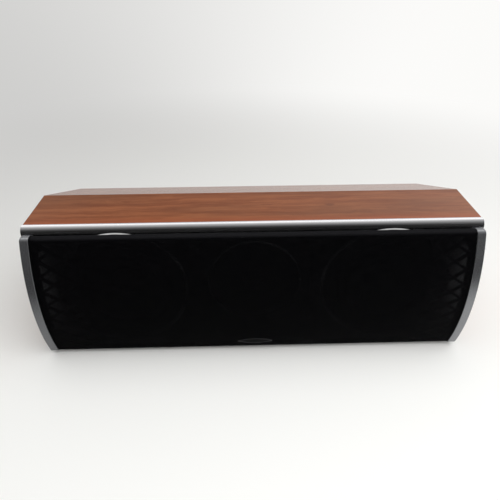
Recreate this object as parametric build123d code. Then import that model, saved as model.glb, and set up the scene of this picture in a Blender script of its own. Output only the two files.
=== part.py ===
from build123d import *
import math
import os

# Center channel speaker: a vinyl-wrapped cabinet with a sloped rear top, two woofers and a dome
# tweeter behind a curved cloth grille, a rear port and a recessed terminal cup.
# X runs along the speaker, -Y is the listening side, +Z is up, and the origin is on the floor
# under the middle of the whole speaker. All sizes are in millimetres.

# Cabinet boards
CABINET_WIDTH = 500.0
CABINET_HEIGHT = 168.0
CABINET_DEPTH = 202.0
TOP_LEVEL_DEPTH = 71.4  # level front part of the top, up to the ridge
TAIL_DROP = 52.5  # fall of the sloped rear part of the top
BOARD = 15.0
WOOD_ROUND = 0.8
BACK_BOARD = 15.0
BACK_INSET = 4.0  # back panel sits this far inside the rear edge
BAFFLE_BOARD = 15.0
FOOT_HEIGHT = 4.0
FOOT_RADIUS = 9.0
FOOT_TAPER = 1.0
FOOT_INSET = 32.0
BRACE_BOARD = 12.0
BRACE_X = 66.0
BRACE_RIM = 22.0
PAD_THICKNESS = 20.0
PAD_MARGIN = 12.0

# Front fascia and its aluminium bullnose
FASCIA_THICKNESS = 8.0
FASCIA_SIDE_INSET = 0.5
FASCIA_ROUND = 2.0
TRIM_WALL = 2.0
TRIM_LIP = 2.0
TRIM_OVERHANG = 0.75

# Grille: an arc in side view, held between two end bars
GRILLE_HEIGHT = 160.0
GRILLE_FLOOR_GAP = 5.0
GRILLE_EDGE_PROUD = 19.0  # upper and lower ends of the arc, ahead of the wood front edge
GRILLE_SAG = 16.0  # how far the arc bulges past its ends
GRILLE_GAP = 3.0  # from the fascia to the back of the grille
BAR_THICKNESS = 9.3
BAR_SIDE_INSET = 1.0
BAR_DEPTH = 9.0  # from the bow of an end bar to the open side behind it
BAR_WALL = 2.5
BAR_NOSE_ROUND = 5.0
BAR_EDGE_ROUND = 0.8
CLOTH_BELOW_BAR = 1.2
CLOTH_THICKNESS = 0.8
CLOTH_END_GAP = 0.2
CLOTH_NOSE_ROUND = 5.0  # long edges of the cloth, at its front
CLOTH_HEEL_ROUND = 2.0  # and at its back
SHEET_THICKNESS = 2.5
END_RIB = 2.5
GRILLE_RAIL = 6.0
LATTICE_ROWS = 8
LATTICE_COLUMNS = 4  # staggered half a diamond from each to the next
LATTICE_HALF_WIDTH = 14.0
LATTICE_RIB = 2.7
LATTICE_BORDER = 6.0
WINDOW_ROUND = 8.0
GRILLE_RIB_X = 65.0
GRILLE_RIB = 10.0
PEG_POST_RADIUS = 3.4
PEG_RADIUS = 2.6
PEG_SHANK_RADIUS = 1.5
PEG_SHANK = 7.0
PEG_REACH = 6.0
PEG_NOSE = 1.0
PEG_CLEARANCE = 0.05
PEG_EDGE = 14.0  # pegs inside the height that the grille and the fascia share
SOCKET_WALL = 1.6
SOCKET_FLANGE = 1.2
SOCKET_FLANGE_THICKNESS = 0.8
SOCKET_END = 0.9
BADGE_WIDTH = 42.0
BADGE_HEIGHT = 9.0
BADGE_THICKNESS = 1.0
BADGE_RISE = 15.0  # middle of the plate above the lower edge of the cloth

# Woofers: forward distances are measured from the front face of the fascia
WOOFER_INWARD = 1.5  # axes inward of the middle between the tweeter's ring and the cabinet's end
BAFFLE_BELOW_WOOFER = 9.5  # board left under a woofer's cut-out
BAFFLE_ABOVE_WOOFER = 6.5  # board left over it
FLANGE_THICKNESS = 3.0
RECESS_CLEARANCE = 0.2
CUTOUT_CLEARANCE = 2.0
WOOFER_FLANGE_WIDTH = 11.0  # from the basket out to the edge of its flange
WOOFER_RING_WIDTH = 6.0
RING_GAP = 0.3
WOOFER_RING_PROUD = 2.5
RING_FOOT = 0.1  # upright share of a trim ring's height
RING_BEVEL = 0.65  # run of its outer flank, as a share of its height
RING_SWELL = 0.7  # height of its face half way in, as a share of its rise
BASKET_WALL = 2.5
BASKET_SHOULDER = 8.0
BASKET_TAPER = 17.0  # from the basket's radius in to its neck
BASKET_NECK_TOP = 27.0
BASKET_DEPTH = 45.0
BASKET_WINDOWS = 6
BASKET_SPOKE = 18.0
BASKET_WINDOW_REACH = 27.0
TERMINAL_PAD = 5.0
TERMINAL_PAD_WIDTH = 12.0
TERMINAL_PAD_HEIGHT = 6.0
ROLL_INSET = 3.5  # from the basket's radius in to the roll
ROLL_RADIUS = 5.0
SURROUND_LIP = 4.0
SURROUND_THICKNESS = 0.8
CONE_DEPTH = 22.0
CONE_THICKNESS = 1.2
DUST_CAP_RADIUS = 18.0
DUST_CAP_HEIGHT = 7.0
DUST_CAP_THICKNESS = 0.8
COIL_RADIUS = 12.7
FORMER_WALL = 0.3
FORMER_ABOVE_NECK = 1.0
FORMER_DEPTH = 56.0
WINDING_THICKNESS = 0.5
WINDING_LENGTH = 13.0
COIL_GAP = 0.5
SPIDER_DEPTH = 28.0
SPIDER_INSET = 2.5  # from the inside of the neck
SPIDER_LIP = 3.5
SPIDER_THICKNESS = 0.6
SPIDER_WAVES = 4
SPIDER_WAVE_HEIGHT = 1.6
SPIDER_SHELF = 2.5
TOP_PLATE_INSET = 4.0  # from the outside of the neck
TOP_PLATE_THICKNESS = 5.0
MAGNET_OVERHANG = 3.0  # past the top plate
MAGNET_BORE_RADIUS = 18.0
MAGNET_THICKNESS = 14.0
BACK_PLATE_THICKNESS = 5.0
POLE_VENT_RADIUS = 4.0
WOOFER_SCREWS = 4

# Tweeter
TWEETER_RAISE = 8.0  # above the woofer axes
TWEETER_FLANGE_RADIUS = 50.0
TWEETER_RING_WIDTH = 4.7
TWEETER_RING_PROUD = 2.0
TWEETER_BODY_RADIUS = 43.0
TWEETER_BODY_DEPTH = 6.5
TWEETER_MOUTH_RADIUS = 16.5
TWEETER_MOUTH_DEPTH = 4.2
TWEETER_RIM = 6.0
DISH_SAG = 0.9
DOME_RADIUS = 12.5
DOME_HEIGHT = 4.5
DOME_THICKNESS = 0.4
DOME_LIP_THICKNESS = 0.5
DOME_LIP = 4.0
TWEETER_COIL_RADIUS = 12.7
TWEETER_FORMER_WALL = 0.5
TWEETER_FORMER_LENGTH = 6.5
TWEETER_WINDING_THICKNESS = 0.3
TWEETER_WINDING_LENGTH = 3.0
TWEETER_COIL_GAP = 0.4
TWEETER_MAGNET_RADIUS = 36.0
TWEETER_PLATE_THICKNESS = 4.0
TWEETER_MAGNET_THICKNESS = 10.0
TWEETER_MAGNET_BORE_RADIUS = 18.0
TWEETER_SCREWS = 4

# Wood screws, all alike
SCREW_HEAD_RADIUS = 3.2
SCREW_HEAD_HEIGHT = 1.5
SCREW_RADIUS = 1.7
SCREW_LENGTH = 16.0
SCREW_EDGE = 6.0  # from the edge of a flange to its screws
SCREW_START_ANGLE = 45.0

# Rear port
PORT_X = 112.0
PORT_EDGE = 3.2  # panel left above and below the flange
PORT_WALL = 2.5
PORT_FLARE = 8.0
PORT_LENGTH = 95.0
PORT_FLANGE = 6.0
PORT_FLANGE_THICKNESS = 3.0
PORT_SEAT_CLEARANCE = 0.3

# Terminal cup and binding posts
CUP_WIDTH = 70.0
CUP_EDGE = 7.2  # panel left above and below the flange
CUP_DEPTH = 24.0
CUP_WALL = 2.5
CUP_FLANGE = 9.0
CUP_FLANGE_THICKNESS = 3.0
CUP_CORNER = 6.0
CUP_SEAT_CLEARANCE = 0.3
POST_SPACING = 19.05
POST_BASE_RADIUS = 6.0
POST_BASE_HEIGHT = 3.0
POST_STUD_RADIUS = 2.9
POST_STUD_LENGTH = 19.5
POST_TAIL_RADIUS = 2.0
POST_TAIL_LENGTH = 13.0
BANANA_RADIUS = 2.0
BANANA_DEPTH = 14.0
WIRE_HOLE_RADIUS = 1.2
WIRE_HOLE_RISE = 2.2
WASHER_GAP = 0.3
WASHER_RADIUS = 5.6
WASHER_THICKNESS = 1.0
CAP_GAP = 0.2
CAP_RADIUS = 6.4
CAP_END_WALL = 1.8
CAP_END_HOLE_RADIUS = 2.4
CAP_FLUTES = 12
CAP_FLUTE_RADIUS = 0.7
CAP_ROUND = 0.8
THREAD_CLEARANCE = 0.05
NUT_RADIUS = 4.0
NUT_SIDES = 6
NUT_THICKNESS = 3.0

# Crossover, bolted to the tails of the posts
CIRCUIT_WIDTH = 96.0
CIRCUIT_HEIGHT = 62.0
CIRCUIT_THICKNESS = 1.6
CIRCUIT_COIL_RADIUS = 14.0
CIRCUIT_COIL_BORE = 6.0
CIRCUIT_COIL_HEIGHT = 13.0
CAPACITOR_RADIUS = 7.0
CAPACITOR_LENGTH = 26.0
RESISTOR_LENGTH = 24.0
RESISTOR_SIDE = 9.0
LEAD_RADIUS = 1.6
LEAD_BEND = 9.0
LEAD_DROP = 14.0

# Places worked out from the sizes above
Y_EDGE = (GRILLE_EDGE_PROUD + GRILLE_SAG - CABINET_DEPTH) / 2
Y_REAR = Y_EDGE + CABINET_DEPTH
Y_RIDGE = Y_EDGE + TOP_LEVEL_DEPTH
Y_FASCIA = Y_EDGE - FASCIA_THICKNESS
Y_BAFFLE_IN = Y_EDGE + BAFFLE_BOARD
Y_BACK = Y_REAR - BACK_INSET
Y_BACK_IN = Y_BACK - BACK_BOARD
Z_BASE = FOOT_HEIGHT
Z_TOP = Z_BASE + CABINET_HEIGHT
Z_FLOOR = Z_BASE + BOARD
INNER_WIDTH = CABINET_WIDTH - 2 * BOARD
TAIL_ANGLE = math.atan2(TAIL_DROP, CABINET_DEPTH - TOP_LEVEL_DEPTH)
Y_RIDGE_IN = Y_RIDGE - BOARD * math.tan(TAIL_ANGLE / 2)
Z_GRILLE = GRILLE_FLOOR_GAP + GRILLE_HEIGHT / 2
BAFFLE_HEIGHT = CABINET_HEIGHT - 2 * BOARD
WOOFER_CUTOUT_RADIUS = (BAFFLE_HEIGHT - BAFFLE_BELOW_WOOFER - BAFFLE_ABOVE_WOOFER) / 2
Z_WOOFER = Z_FLOOR + BAFFLE_BELOW_WOOFER + WOOFER_CUTOUT_RADIUS
Z_TWEETER = Z_WOOFER + TWEETER_RAISE
BASKET_RADIUS = WOOFER_CUTOUT_RADIUS - CUTOUT_CLEARANCE
WOOFER_FLANGE_RADIUS = BASKET_RADIUS + WOOFER_FLANGE_WIDTH
WOOFER_RING_INNER = WOOFER_FLANGE_RADIUS + RING_GAP
TWEETER_RING_INNER = TWEETER_FLANGE_RADIUS + RING_GAP
TWEETER_RING_OUTER = TWEETER_RING_INNER + TWEETER_RING_WIDTH
WOOFER_X = (TWEETER_RING_OUTER + CABINET_WIDTH / 2) / 2 - WOOFER_INWARD
BASKET_NECK_RADIUS = BASKET_RADIUS - BASKET_TAPER
ROLL_OUTER_RADIUS = BASKET_RADIUS - ROLL_INSET
ROLL_INNER_RADIUS = ROLL_OUTER_RADIUS - 2 * ROLL_RADIUS
CONE_RIM = ROLL_INNER_RADIUS - SURROUND_LIP
SPIDER_RADIUS = BASKET_NECK_RADIUS - BASKET_WALL - SPIDER_INSET
TOP_PLATE_RADIUS = BASKET_NECK_RADIUS - TOP_PLATE_INSET
MAGNET_RADIUS = TOP_PLATE_RADIUS + MAGNET_OVERHANG
Z_TRIM_LIP = Z_TOP - FASCIA_THICKNESS - TRIM_LIP
CUT = 1.0  # how far a cutting solid runs past the face that it cuts


def ceiling(y):
    """Height of the inside of the top over a place along the depth."""
    return Z_TOP - BOARD - max(0.0, y - Y_RIDGE_IN) * math.tan(TAIL_ANGLE)


Z_BACK_MIDDLE = (Z_FLOOR + ceiling(Y_BACK)) / 2
BACK_HALF_HEIGHT = Z_BACK_MIDDLE - Z_FLOOR
PORT_RADIUS = BACK_HALF_HEIGHT - PORT_EDGE - PORT_FLANGE - PORT_WALL - PORT_FLARE
CUP_HEIGHT = 2 * (BACK_HALF_HEIGHT - CUP_EDGE - CUP_FLANGE - CUP_WALL)


# Ways of making solids
def side_face(*outline):
    """Face in the YZ plane from lines and arcs drawn as (y, z)."""
    return Plane.YZ * make_face(list(outline))


def side_polygon(*points):
    return Plane.YZ * make_face(Polyline(*points, close=True))


def across(face, width):
    """Solid that runs along the speaker, centred on its middle."""
    return extrude(face, amount=width / 2, both=True)


def turned(*points):
    """Solid of revolution from (radius, forward) corner points."""
    return revolve(Plane.XZ * make_face(Polyline(*points, close=True)), Axis.Z)


def turned_outline(*outline):
    """Solid of revolution from lines and arcs drawn as (radius, forward)."""
    return revolve(Plane.XZ * make_face(list(outline)), Axis.Z)


def facing(part, x, z):
    """Stands a part on the fascia, with its own Z towards the listener."""
    return Pos(x, Y_FASCIA, z) * Rot(90, 0, 0) * part


def rearward(part, x, y, z):
    """Stands a part on a rear face, with its own Z towards the wall behind."""
    return Pos(x, y, z) * Rot(-90, 0, 0) * part


def group(solids):
    """One node made of separate like solids."""
    return Compound(children=[solid for part in solids for solid in part.solids()])


def disc(radius, low, high):
    """Upright cylinder between two heights."""
    return Pos(0, 0, (low + high) / 2) * Cylinder(radius, high - low)


def ring_places(count, radius, start):
    step = 360.0 / count
    angles = [math.radians(start + step * i) for i in range(count)]
    return [(radius * math.cos(a), radius * math.sin(a)) for a in angles]


def cap_arc(radius, height, base):
    """Arc of a shallow dome in section, from its crown on the axis to its rim."""
    ball = (radius**2 + height**2) / (2 * height)
    half = math.asin(radius / ball) / 2
    crown = (0, base + height)
    middle = (ball * math.sin(half), base + height - ball * (1 - math.cos(half)))
    return ThreePointArc(crown, middle, (radius, base))


def quarter_arc(center, radius):
    """Arc of a convex upper front edge, from its top to its front."""
    y, z = center
    lean = radius * math.sqrt(0.5)
    return ThreePointArc((y, z + radius), (y - lean, z + lean), (y - radius, z))


# Cabinet boards
def cavity_points(y_front, y_rear, margin):
    """Section of the inside of the box between two places, drawn in by a margin."""
    points = [(y_front, Z_FLOOR + margin), (y_front, ceiling(y_front) - margin)]
    if y_front < Y_RIDGE_IN < y_rear:
        points.append((Y_RIDGE_IN, ceiling(Y_RIDGE_IN) - margin))
    points.append((y_rear, ceiling(y_rear) - margin))
    points.append((y_rear, Z_FLOOR + margin))
    return points


def make_cabinet_wrap():
    outside = side_polygon(
        (Y_EDGE, Z_BASE),
        (Y_EDGE, Z_TOP),
        (Y_RIDGE, Z_TOP),
        (Y_REAR, Z_TOP - TAIL_DROP),
        (Y_REAR, Z_BASE),
    )
    box = across(outside, CABINET_WIDTH)
    box = fillet(box.edges(), WOOD_ROUND)
    hollow = side_polygon(*cavity_points(Y_EDGE - CUT, Y_REAR + CUT, 0.0))
    return box - across(hollow, INNER_WIDTH)


def make_braces():
    rim = side_polygon(*cavity_points(Y_BAFFLE_IN, Y_BACK_IN, 0.0))
    window = side_polygon(
        *cavity_points(Y_BAFFLE_IN + BRACE_RIM, Y_BACK_IN - BRACE_RIM, BRACE_RIM)
    )
    brace = across(rim, BRACE_BOARD) - across(window, BRACE_BOARD + CUT)
    return group([Pos(side * BRACE_X, 0, 0) * brace for side in (-1, 1)])


def make_damping_pads():
    section = cavity_points(Y_BAFFLE_IN + PAD_MARGIN, Y_BACK_IN - PAD_MARGIN, PAD_MARGIN)
    pad = across(side_polygon(*section), PAD_THICKNESS)
    x = (INNER_WIDTH - PAD_THICKNESS) / 2
    return group([Pos(side * x, 0, 0) * pad for side in (-1, 1)])


def make_feet():
    foot = turned(
        (0, 0),
        (FOOT_RADIUS - FOOT_TAPER, 0),
        (FOOT_RADIUS, FOOT_HEIGHT),
        (0, FOOT_HEIGHT),
    )
    x = CABINET_WIDTH / 2 - FOOT_INSET
    rows = (Y_EDGE + FOOT_INSET, Y_REAR - FOOT_INSET)
    return group([Pos(side * x, y, 0) * foot for side in (-1, 1) for y in rows])


# Screws of the drivers and of the terminal cup
def make_screw():
    return turned(
        (0, 0),
        (SCREW_HEAD_RADIUS, 0),
        (SCREW_RADIUS, -SCREW_HEAD_HEIGHT),
        (SCREW_RADIUS, -SCREW_LENGTH),
        (0, -SCREW_LENGTH),
    )


def make_screws():
    screw = make_screw()
    woofer = ring_places(WOOFER_SCREWS, WOOFER_FLANGE_RADIUS - SCREW_EDGE, SCREW_START_ANGLE)
    rim = TWEETER_FLANGE_RADIUS - TWEETER_RIM / 2
    tweeter = ring_places(TWEETER_SCREWS, rim, SCREW_START_ANGLE)
    screws = []
    for side in (-1, 1):
        for x, z in woofer:
            screws.append(facing(screw, side * WOOFER_X + x, Z_WOOFER + z))
    for x, z in tweeter:
        screws.append(facing(screw, x, Z_TWEETER + z))
    cup_x = CUP_WIDTH / 2 + CUP_WALL + CUP_FLANGE / 2
    cup_z = CUP_HEIGHT / 2 + CUP_WALL + CUP_FLANGE / 2
    head_y = Y_BACK + CUP_FLANGE_THICKNESS
    for side_x in (-1, 1):
        for side_z in (-1, 1):
            place = (side_x * cup_x, head_y, Z_BACK_MIDDLE + side_z * cup_z)
            screws.append(rearward(screw, *place))
    return group(screws)


# Boards and mouldings with their cut-outs
def driver_cuts(woofer_radius, tweeter_radius, back, front):
    """Round cutters at the three drivers, between two forward distances."""
    woofer = disc(woofer_radius, back, front)
    tweeter = disc(tweeter_radius, back, front)
    cuts = [facing(woofer, side * WOOFER_X, Z_WOOFER) for side in (-1, 1)]
    return cuts + [facing(tweeter, 0, Z_TWEETER)]


def peg_places():
    """Four pegs at the corners of the grille and one low on each of its ribs."""
    x = bar_inner_x() - PEG_POST_RADIUS - CLOTH_END_GAP
    low = max(GRILLE_FLOOR_GAP, Z_BASE + FASCIA_ROUND) + PEG_EDGE
    high = min(GRILLE_FLOOR_GAP + GRILLE_HEIGHT, Z_TRIM_LIP) - PEG_EDGE
    corners = [(side * x, z) for side in (-1, 1) for z in (low, high)]
    return corners + [(side * GRILLE_RIB_X, low) for side in (-1, 1)]


def socket_outer_radius():
    return PEG_RADIUS + PEG_CLEARANCE + SOCKET_WALL


def socket_depth():
    return PEG_REACH + PEG_CLEARANCE + SOCKET_END


def make_baffle_board(screws):
    board = across(side_polygon(*cavity_points(Y_EDGE, Y_BAFFLE_IN, 0.0)), INNER_WIDTH)
    tweeter = TWEETER_BODY_RADIUS + CUTOUT_CLEARANCE
    back = -FASCIA_THICKNESS - BAFFLE_BOARD - CUT
    cuts = driver_cuts(WOOFER_CUTOUT_RADIUS, tweeter, back, -FASCIA_THICKNESS + CUT)
    return board - cuts - screws


def make_front_fascia(screws):
    lip = Z_TRIM_LIP
    nose = FASCIA_THICKNESS - TRIM_WALL
    bend = (Y_EDGE, Z_TOP - FASCIA_THICKNESS)
    foot = FASCIA_ROUND * (1 - math.sqrt(0.5))
    section = side_face(
        Line((Y_EDGE, Z_BASE), (Y_EDGE, Z_TOP - TRIM_WALL)),
        quarter_arc(bend, nose),
        Line((Y_EDGE - nose, Z_TOP - FASCIA_THICKNESS), (Y_EDGE - nose, lip)),
        Line((Y_EDGE - nose, lip), (Y_FASCIA, lip)),
        Line((Y_FASCIA, lip), (Y_FASCIA, Z_BASE + FASCIA_ROUND)),
        ThreePointArc(
            (Y_FASCIA, Z_BASE + FASCIA_ROUND),
            (Y_FASCIA + foot, Z_BASE + foot),
            (Y_FASCIA + FASCIA_ROUND, Z_BASE),
        ),
        Line((Y_FASCIA + FASCIA_ROUND, Z_BASE), (Y_EDGE, Z_BASE)),
    )
    fascia = across(section, CABINET_WIDTH - 2 * FASCIA_SIDE_INSET)
    recess = driver_cuts(
        WOOFER_FLANGE_RADIUS + RECESS_CLEARANCE,
        TWEETER_FLANGE_RADIUS + RECESS_CLEARANCE,
        -FLANGE_THICKNESS,
        CUT,
    )
    through = driver_cuts(
        WOOFER_CUTOUT_RADIUS,
        TWEETER_BODY_RADIUS + CUTOUT_CLEARANCE,
        -FASCIA_THICKNESS - CUT,
        CUT,
    )
    hole = disc(socket_outer_radius(), -socket_depth(), CUT)
    sockets = [facing(hole, x, z) for x, z in peg_places()]
    return fascia - recess - through - sockets - screws


def make_top_trim():
    lip = Z_TRIM_LIP
    nose = FASCIA_THICKNESS - TRIM_WALL
    bend = (Y_EDGE, Z_TOP - FASCIA_THICKNESS)
    section = side_face(
        quarter_arc(bend, FASCIA_THICKNESS),
        Line((Y_FASCIA, Z_TOP - FASCIA_THICKNESS), (Y_FASCIA, lip)),
        Line((Y_FASCIA, lip), (Y_EDGE - nose, lip)),
        Line((Y_EDGE - nose, lip), (Y_EDGE - nose, Z_TOP - FASCIA_THICKNESS)),
        quarter_arc(bend, nose),
        Line((Y_EDGE, Z_TOP - TRIM_WALL), (Y_EDGE, Z_TOP)),
    )
    return across(section, CABINET_WIDTH + 2 * TRIM_OVERHANG)


def make_back_panel(screws):
    panel = across(side_polygon(*cavity_points(Y_BACK_IN, Y_BACK, 0.0)), INNER_WIDTH)
    port = disc(port_boss_radius() + PORT_SEAT_CLEARANCE, -BACK_BOARD - CUT, CUT)
    cup = cup_block(CUP_SEAT_CLEARANCE, -BACK_BOARD - CUT, CUT)
    panel = panel - rearward(port, PORT_X, Y_BACK, Z_BACK_MIDDLE)
    return panel - rearward(cup, 0, Y_BACK, Z_BACK_MIDDLE) - screws


# Grille
def grille_radius():
    half = GRILLE_HEIGHT / 2
    return (half**2 + GRILLE_SAG**2) / (2 * GRILLE_SAG)


def grille_center_y():
    return Y_EDGE - GRILLE_EDGE_PROUD - GRILLE_SAG + grille_radius()


def grille_back_y():
    return Y_FASCIA - GRILLE_GAP


def bar_inner_x():
    return CABINET_WIDTH / 2 - BAR_SIDE_INSET - BAR_THICKNESS


def cloth_radius():
    return grille_radius() - CLOTH_BELOW_BAR


def sheet_radius():
    return cloth_radius() - CLOTH_THICKNESS


def on_arc(radius, angle):
    """Point of the side view at an angle up from straight ahead."""
    y = grille_center_y() - radius * math.cos(angle)
    return (y, Z_GRILLE + radius * math.sin(angle))


def arc_angle(radius, rise):
    return math.asin(rise / radius)


def arc_band(inner, outer, angle):
    """Section of a curved sheet between two radii."""
    return side_face(
        ThreePointArc(on_arc(outer, -angle), on_arc(outer, 0), on_arc(outer, angle)),
        Line(on_arc(outer, angle), on_arc(inner, angle)),
        ThreePointArc(on_arc(inner, angle), on_arc(inner, 0), on_arc(inner, -angle)),
        Line(on_arc(inner, -angle), on_arc(outer, -angle)),
    )


def bow_section(radius, rise):
    """Section between the arc of a radius and the flat back of the grille."""
    angle = arc_angle(radius, rise)
    back = grille_back_y()
    low = (back, Z_GRILLE - rise)
    high = (back, Z_GRILLE + rise)
    return side_face(
        ThreePointArc(on_arc(radius, -angle), on_arc(radius, 0), on_arc(radius, angle)),
        Line(on_arc(radius, angle), high),
        Line(high, low),
        Line(low, on_arc(radius, -angle)),
    )


def side_opening():
    """Segment behind an end bar, back to the flat back of the grille, left open at the side."""
    radius = grille_radius() - BAR_DEPTH
    angle = math.acos((grille_center_y() - grille_back_y()) / radius)
    return side_face(
        ThreePointArc(on_arc(radius, -angle), on_arc(radius, 0), on_arc(radius, angle)),
        Line(on_arc(radius, angle), on_arc(radius, -angle)),
    )


def make_end_bar(side):
    """Bowed end bar, moulded hollow and open towards the frame."""
    half = GRILLE_HEIGHT / 2
    bar = extrude(bow_section(grille_radius(), half) - side_opening(), amount=BAR_THICKNESS)
    noses = bar.edges().filter_by(Axis.X).group_by(Axis.Y)[0]
    bar = fillet(noses, BAR_NOSE_ROUND)
    fronts = bar.edges().filter_by(GeomType.CIRCLE).group_by(SortBy.RADIUS)[-1]
    bar = fillet(fronts, BAR_EDGE_ROUND)
    front = grille_radius() - BAR_WALL
    pocket = arc_band(front - BAR_DEPTH + 2 * BAR_WALL, front, arc_angle(front, half - BAR_WALL))
    hollow = Pos(-CUT, 0, 0) * extrude(pocket, amount=BAR_THICKNESS - BAR_WALL + CUT)
    bar = Pos(bar_inner_x(), 0, 0) * (bar - hollow)
    return bar if side > 0 else mirror(bar, Plane.YZ)


def rounded_bow(width, inset):
    """Solid of the covered grille with its long edges rounded, drawn in by an inset."""
    solid = across(bow_section(cloth_radius() - inset, GRILLE_HEIGHT / 2 - inset), width)
    noses = solid.edges().filter_by(Axis.X).group_by(Axis.Y)[0]
    solid = fillet(noses, CLOTH_NOSE_ROUND - inset)
    heels = solid.edges().filter_by(Axis.X).group_by(Axis.Y)[-1]
    return fillet(heels, CLOTH_HEEL_ROUND - inset)


def lattice_inner_x():
    return bar_inner_x() - LATTICE_BORDER - (LATTICE_COLUMNS - 1) * LATTICE_HALF_WIDTH


def lattice_cuts():
    """Diamond openings of both ends, cut off square at the edges of their field."""
    field = GRILLE_HEIGHT - 2 * GRILLE_RAIL
    pitch = field / LATTICE_ROWS
    low = Z_GRILLE - field / 2
    outer_x = bar_inner_x() - LATTICE_BORDER
    inner_x = lattice_inner_x()
    half_height = pitch / 2
    to_edge = LATTICE_HALF_WIDTH * half_height / math.hypot(LATTICE_HALF_WIDTH, half_height)
    share = 1 - LATTICE_RIB / 2 / to_edge
    wide = LATTICE_HALF_WIDTH * share
    tall = half_height * share
    diamond = make_face(Polyline((wide, 0), (0, tall), (-wide, 0), (0, -tall), close=True))
    places = []
    for column in range(LATTICE_COLUMNS):
        x = outer_x - column * LATTICE_HALF_WIDTH
        rows = LATTICE_ROWS + column % 2
        start = low + half_height * (1 - column % 2)
        places += [(x, start + pitch * row) for row in range(rows)]
    edge = LATTICE_RIB / 2
    center = ((outer_x + inner_x) / 2, Z_GRILLE)
    frame = Pos(*center) * Rectangle(outer_x - inner_x - 2 * edge, field)
    diamonds = Sketch() + [Pos(*place) * diamond for place in places]
    cut = extrude(Plane.XZ * (diamonds & frame), amount=Y_REAR - Y_EDGE)
    return [cut, mirror(cut, Plane.YZ)]


def window_cut(x_low, x_high):
    field = GRILLE_HEIGHT - 2 * GRILLE_RAIL
    shape = RectangleRounded(x_high - x_low, field, WINDOW_ROUND)
    face = Plane.XZ * (Pos((x_low + x_high) / 2, Z_GRILLE) * shape)
    return extrude(face, amount=Y_REAR - Y_EDGE)


def make_grille_frame():
    """Bowed lattice sheet with rails along both long edges, two end ribs and six posts for its pegs."""
    half_width = bar_inner_x()
    rise = GRILLE_HEIGHT / 2 - CLOTH_THICKNESS - SHEET_THICKNESS
    hollow = bow_section(sheet_radius() - SHEET_THICKNESS, rise)
    frame = rounded_bow(2 * half_width, CLOTH_THICKNESS) - across(hollow, 2 * half_width + CUT)
    woofer_low = GRILLE_RIB_X + GRILLE_RIB / 2
    woofer_high = lattice_inner_x() - LATTICE_RIB / 2
    tweeter = GRILLE_RIB_X - GRILLE_RIB / 2
    frame = frame - window_cut(-tweeter, tweeter)
    frame = frame - window_cut(woofer_low, woofer_high)
    frame = frame - window_cut(-woofer_high, -woofer_low)
    frame = frame - lattice_cuts()
    bow = bow_section(sheet_radius(), rise)
    end = extrude(bow - side_opening(), amount=END_RIB)
    frame = frame + Pos(half_width - END_RIB, 0, 0) * end + Pos(-half_width, 0, 0) * end
    bow_solid = across(bow, 2 * half_width)
    length = grille_back_y() + grille_radius() - grille_center_y()
    post = disc(PEG_POST_RADIUS, GRILLE_GAP, GRILLE_GAP + length)
    bore = disc(PEG_SHANK_RADIUS, GRILLE_GAP - CUT, GRILLE_GAP + PEG_SHANK)
    frame = frame + [facing(post, x, z) & bow_solid for x, z in peg_places()]
    return frame - [facing(bore, x, z) for x, z in peg_places()]


def make_grille_pegs():
    tip = -PEG_REACH
    peg = turned(
        (0, GRILLE_GAP + PEG_SHANK),
        (PEG_SHANK_RADIUS, GRILLE_GAP + PEG_SHANK),
        (PEG_SHANK_RADIUS, GRILLE_GAP),
        (PEG_RADIUS, GRILLE_GAP),
        (PEG_RADIUS, tip + PEG_NOSE),
        (PEG_RADIUS - PEG_NOSE, tip),
        (0, tip),
    )
    return group([facing(peg, x, z) for x, z in peg_places()])


def make_peg_sockets():
    bore = PEG_RADIUS + PEG_CLEARANCE
    outer = socket_outer_radius()
    flange = outer + SOCKET_FLANGE
    bottom = -PEG_REACH - PEG_CLEARANCE
    socket = turned(
        (bore, SOCKET_FLANGE_THICKNESS),
        (flange, SOCKET_FLANGE_THICKNESS),
        (flange, 0),
        (outer, 0),
        (outer, -socket_depth()),
        (0, -socket_depth()),
        (0, bottom),
        (bore, bottom),
    )
    return group([facing(socket, x, z) for x, z in peg_places()])


def make_grille_cloth():
    """Cloth stretched over the front of the frame and over its two rails."""
    width = 2 * (bar_inner_x() - CLOTH_END_GAP)
    return rounded_bow(width, 0) - rounded_bow(width + CUT, CLOTH_THICKNESS)


def make_badge():
    """Bare lens-shaped plate on the lower edge of the cloth."""
    half_width = BADGE_WIDTH / 2
    half_height = BADGE_HEIGHT / 2
    lens = make_face(
        [
            ThreePointArc((-half_width, 0), (0, half_height), (half_width, 0)),
            ThreePointArc((half_width, 0), (0, -half_height), (-half_width, 0)),
        ]
    )
    angle = arc_angle(cloth_radius(), GRILLE_HEIGHT / 2 - BADGE_RISE)
    y, z = on_arc(cloth_radius(), -angle)
    tilt = 90 + math.degrees(angle)
    block = Pos(0, y, z) * Rot(tilt, 0, 0) * extrude(lens, amount=BADGE_HEIGHT, both=True)
    wide = arc_angle(cloth_radius(), GRILLE_HEIGHT / 2)
    skin = arc_band(cloth_radius(), cloth_radius() + BADGE_THICKNESS, wide)
    return block & across(skin, BADGE_WIDTH)


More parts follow.
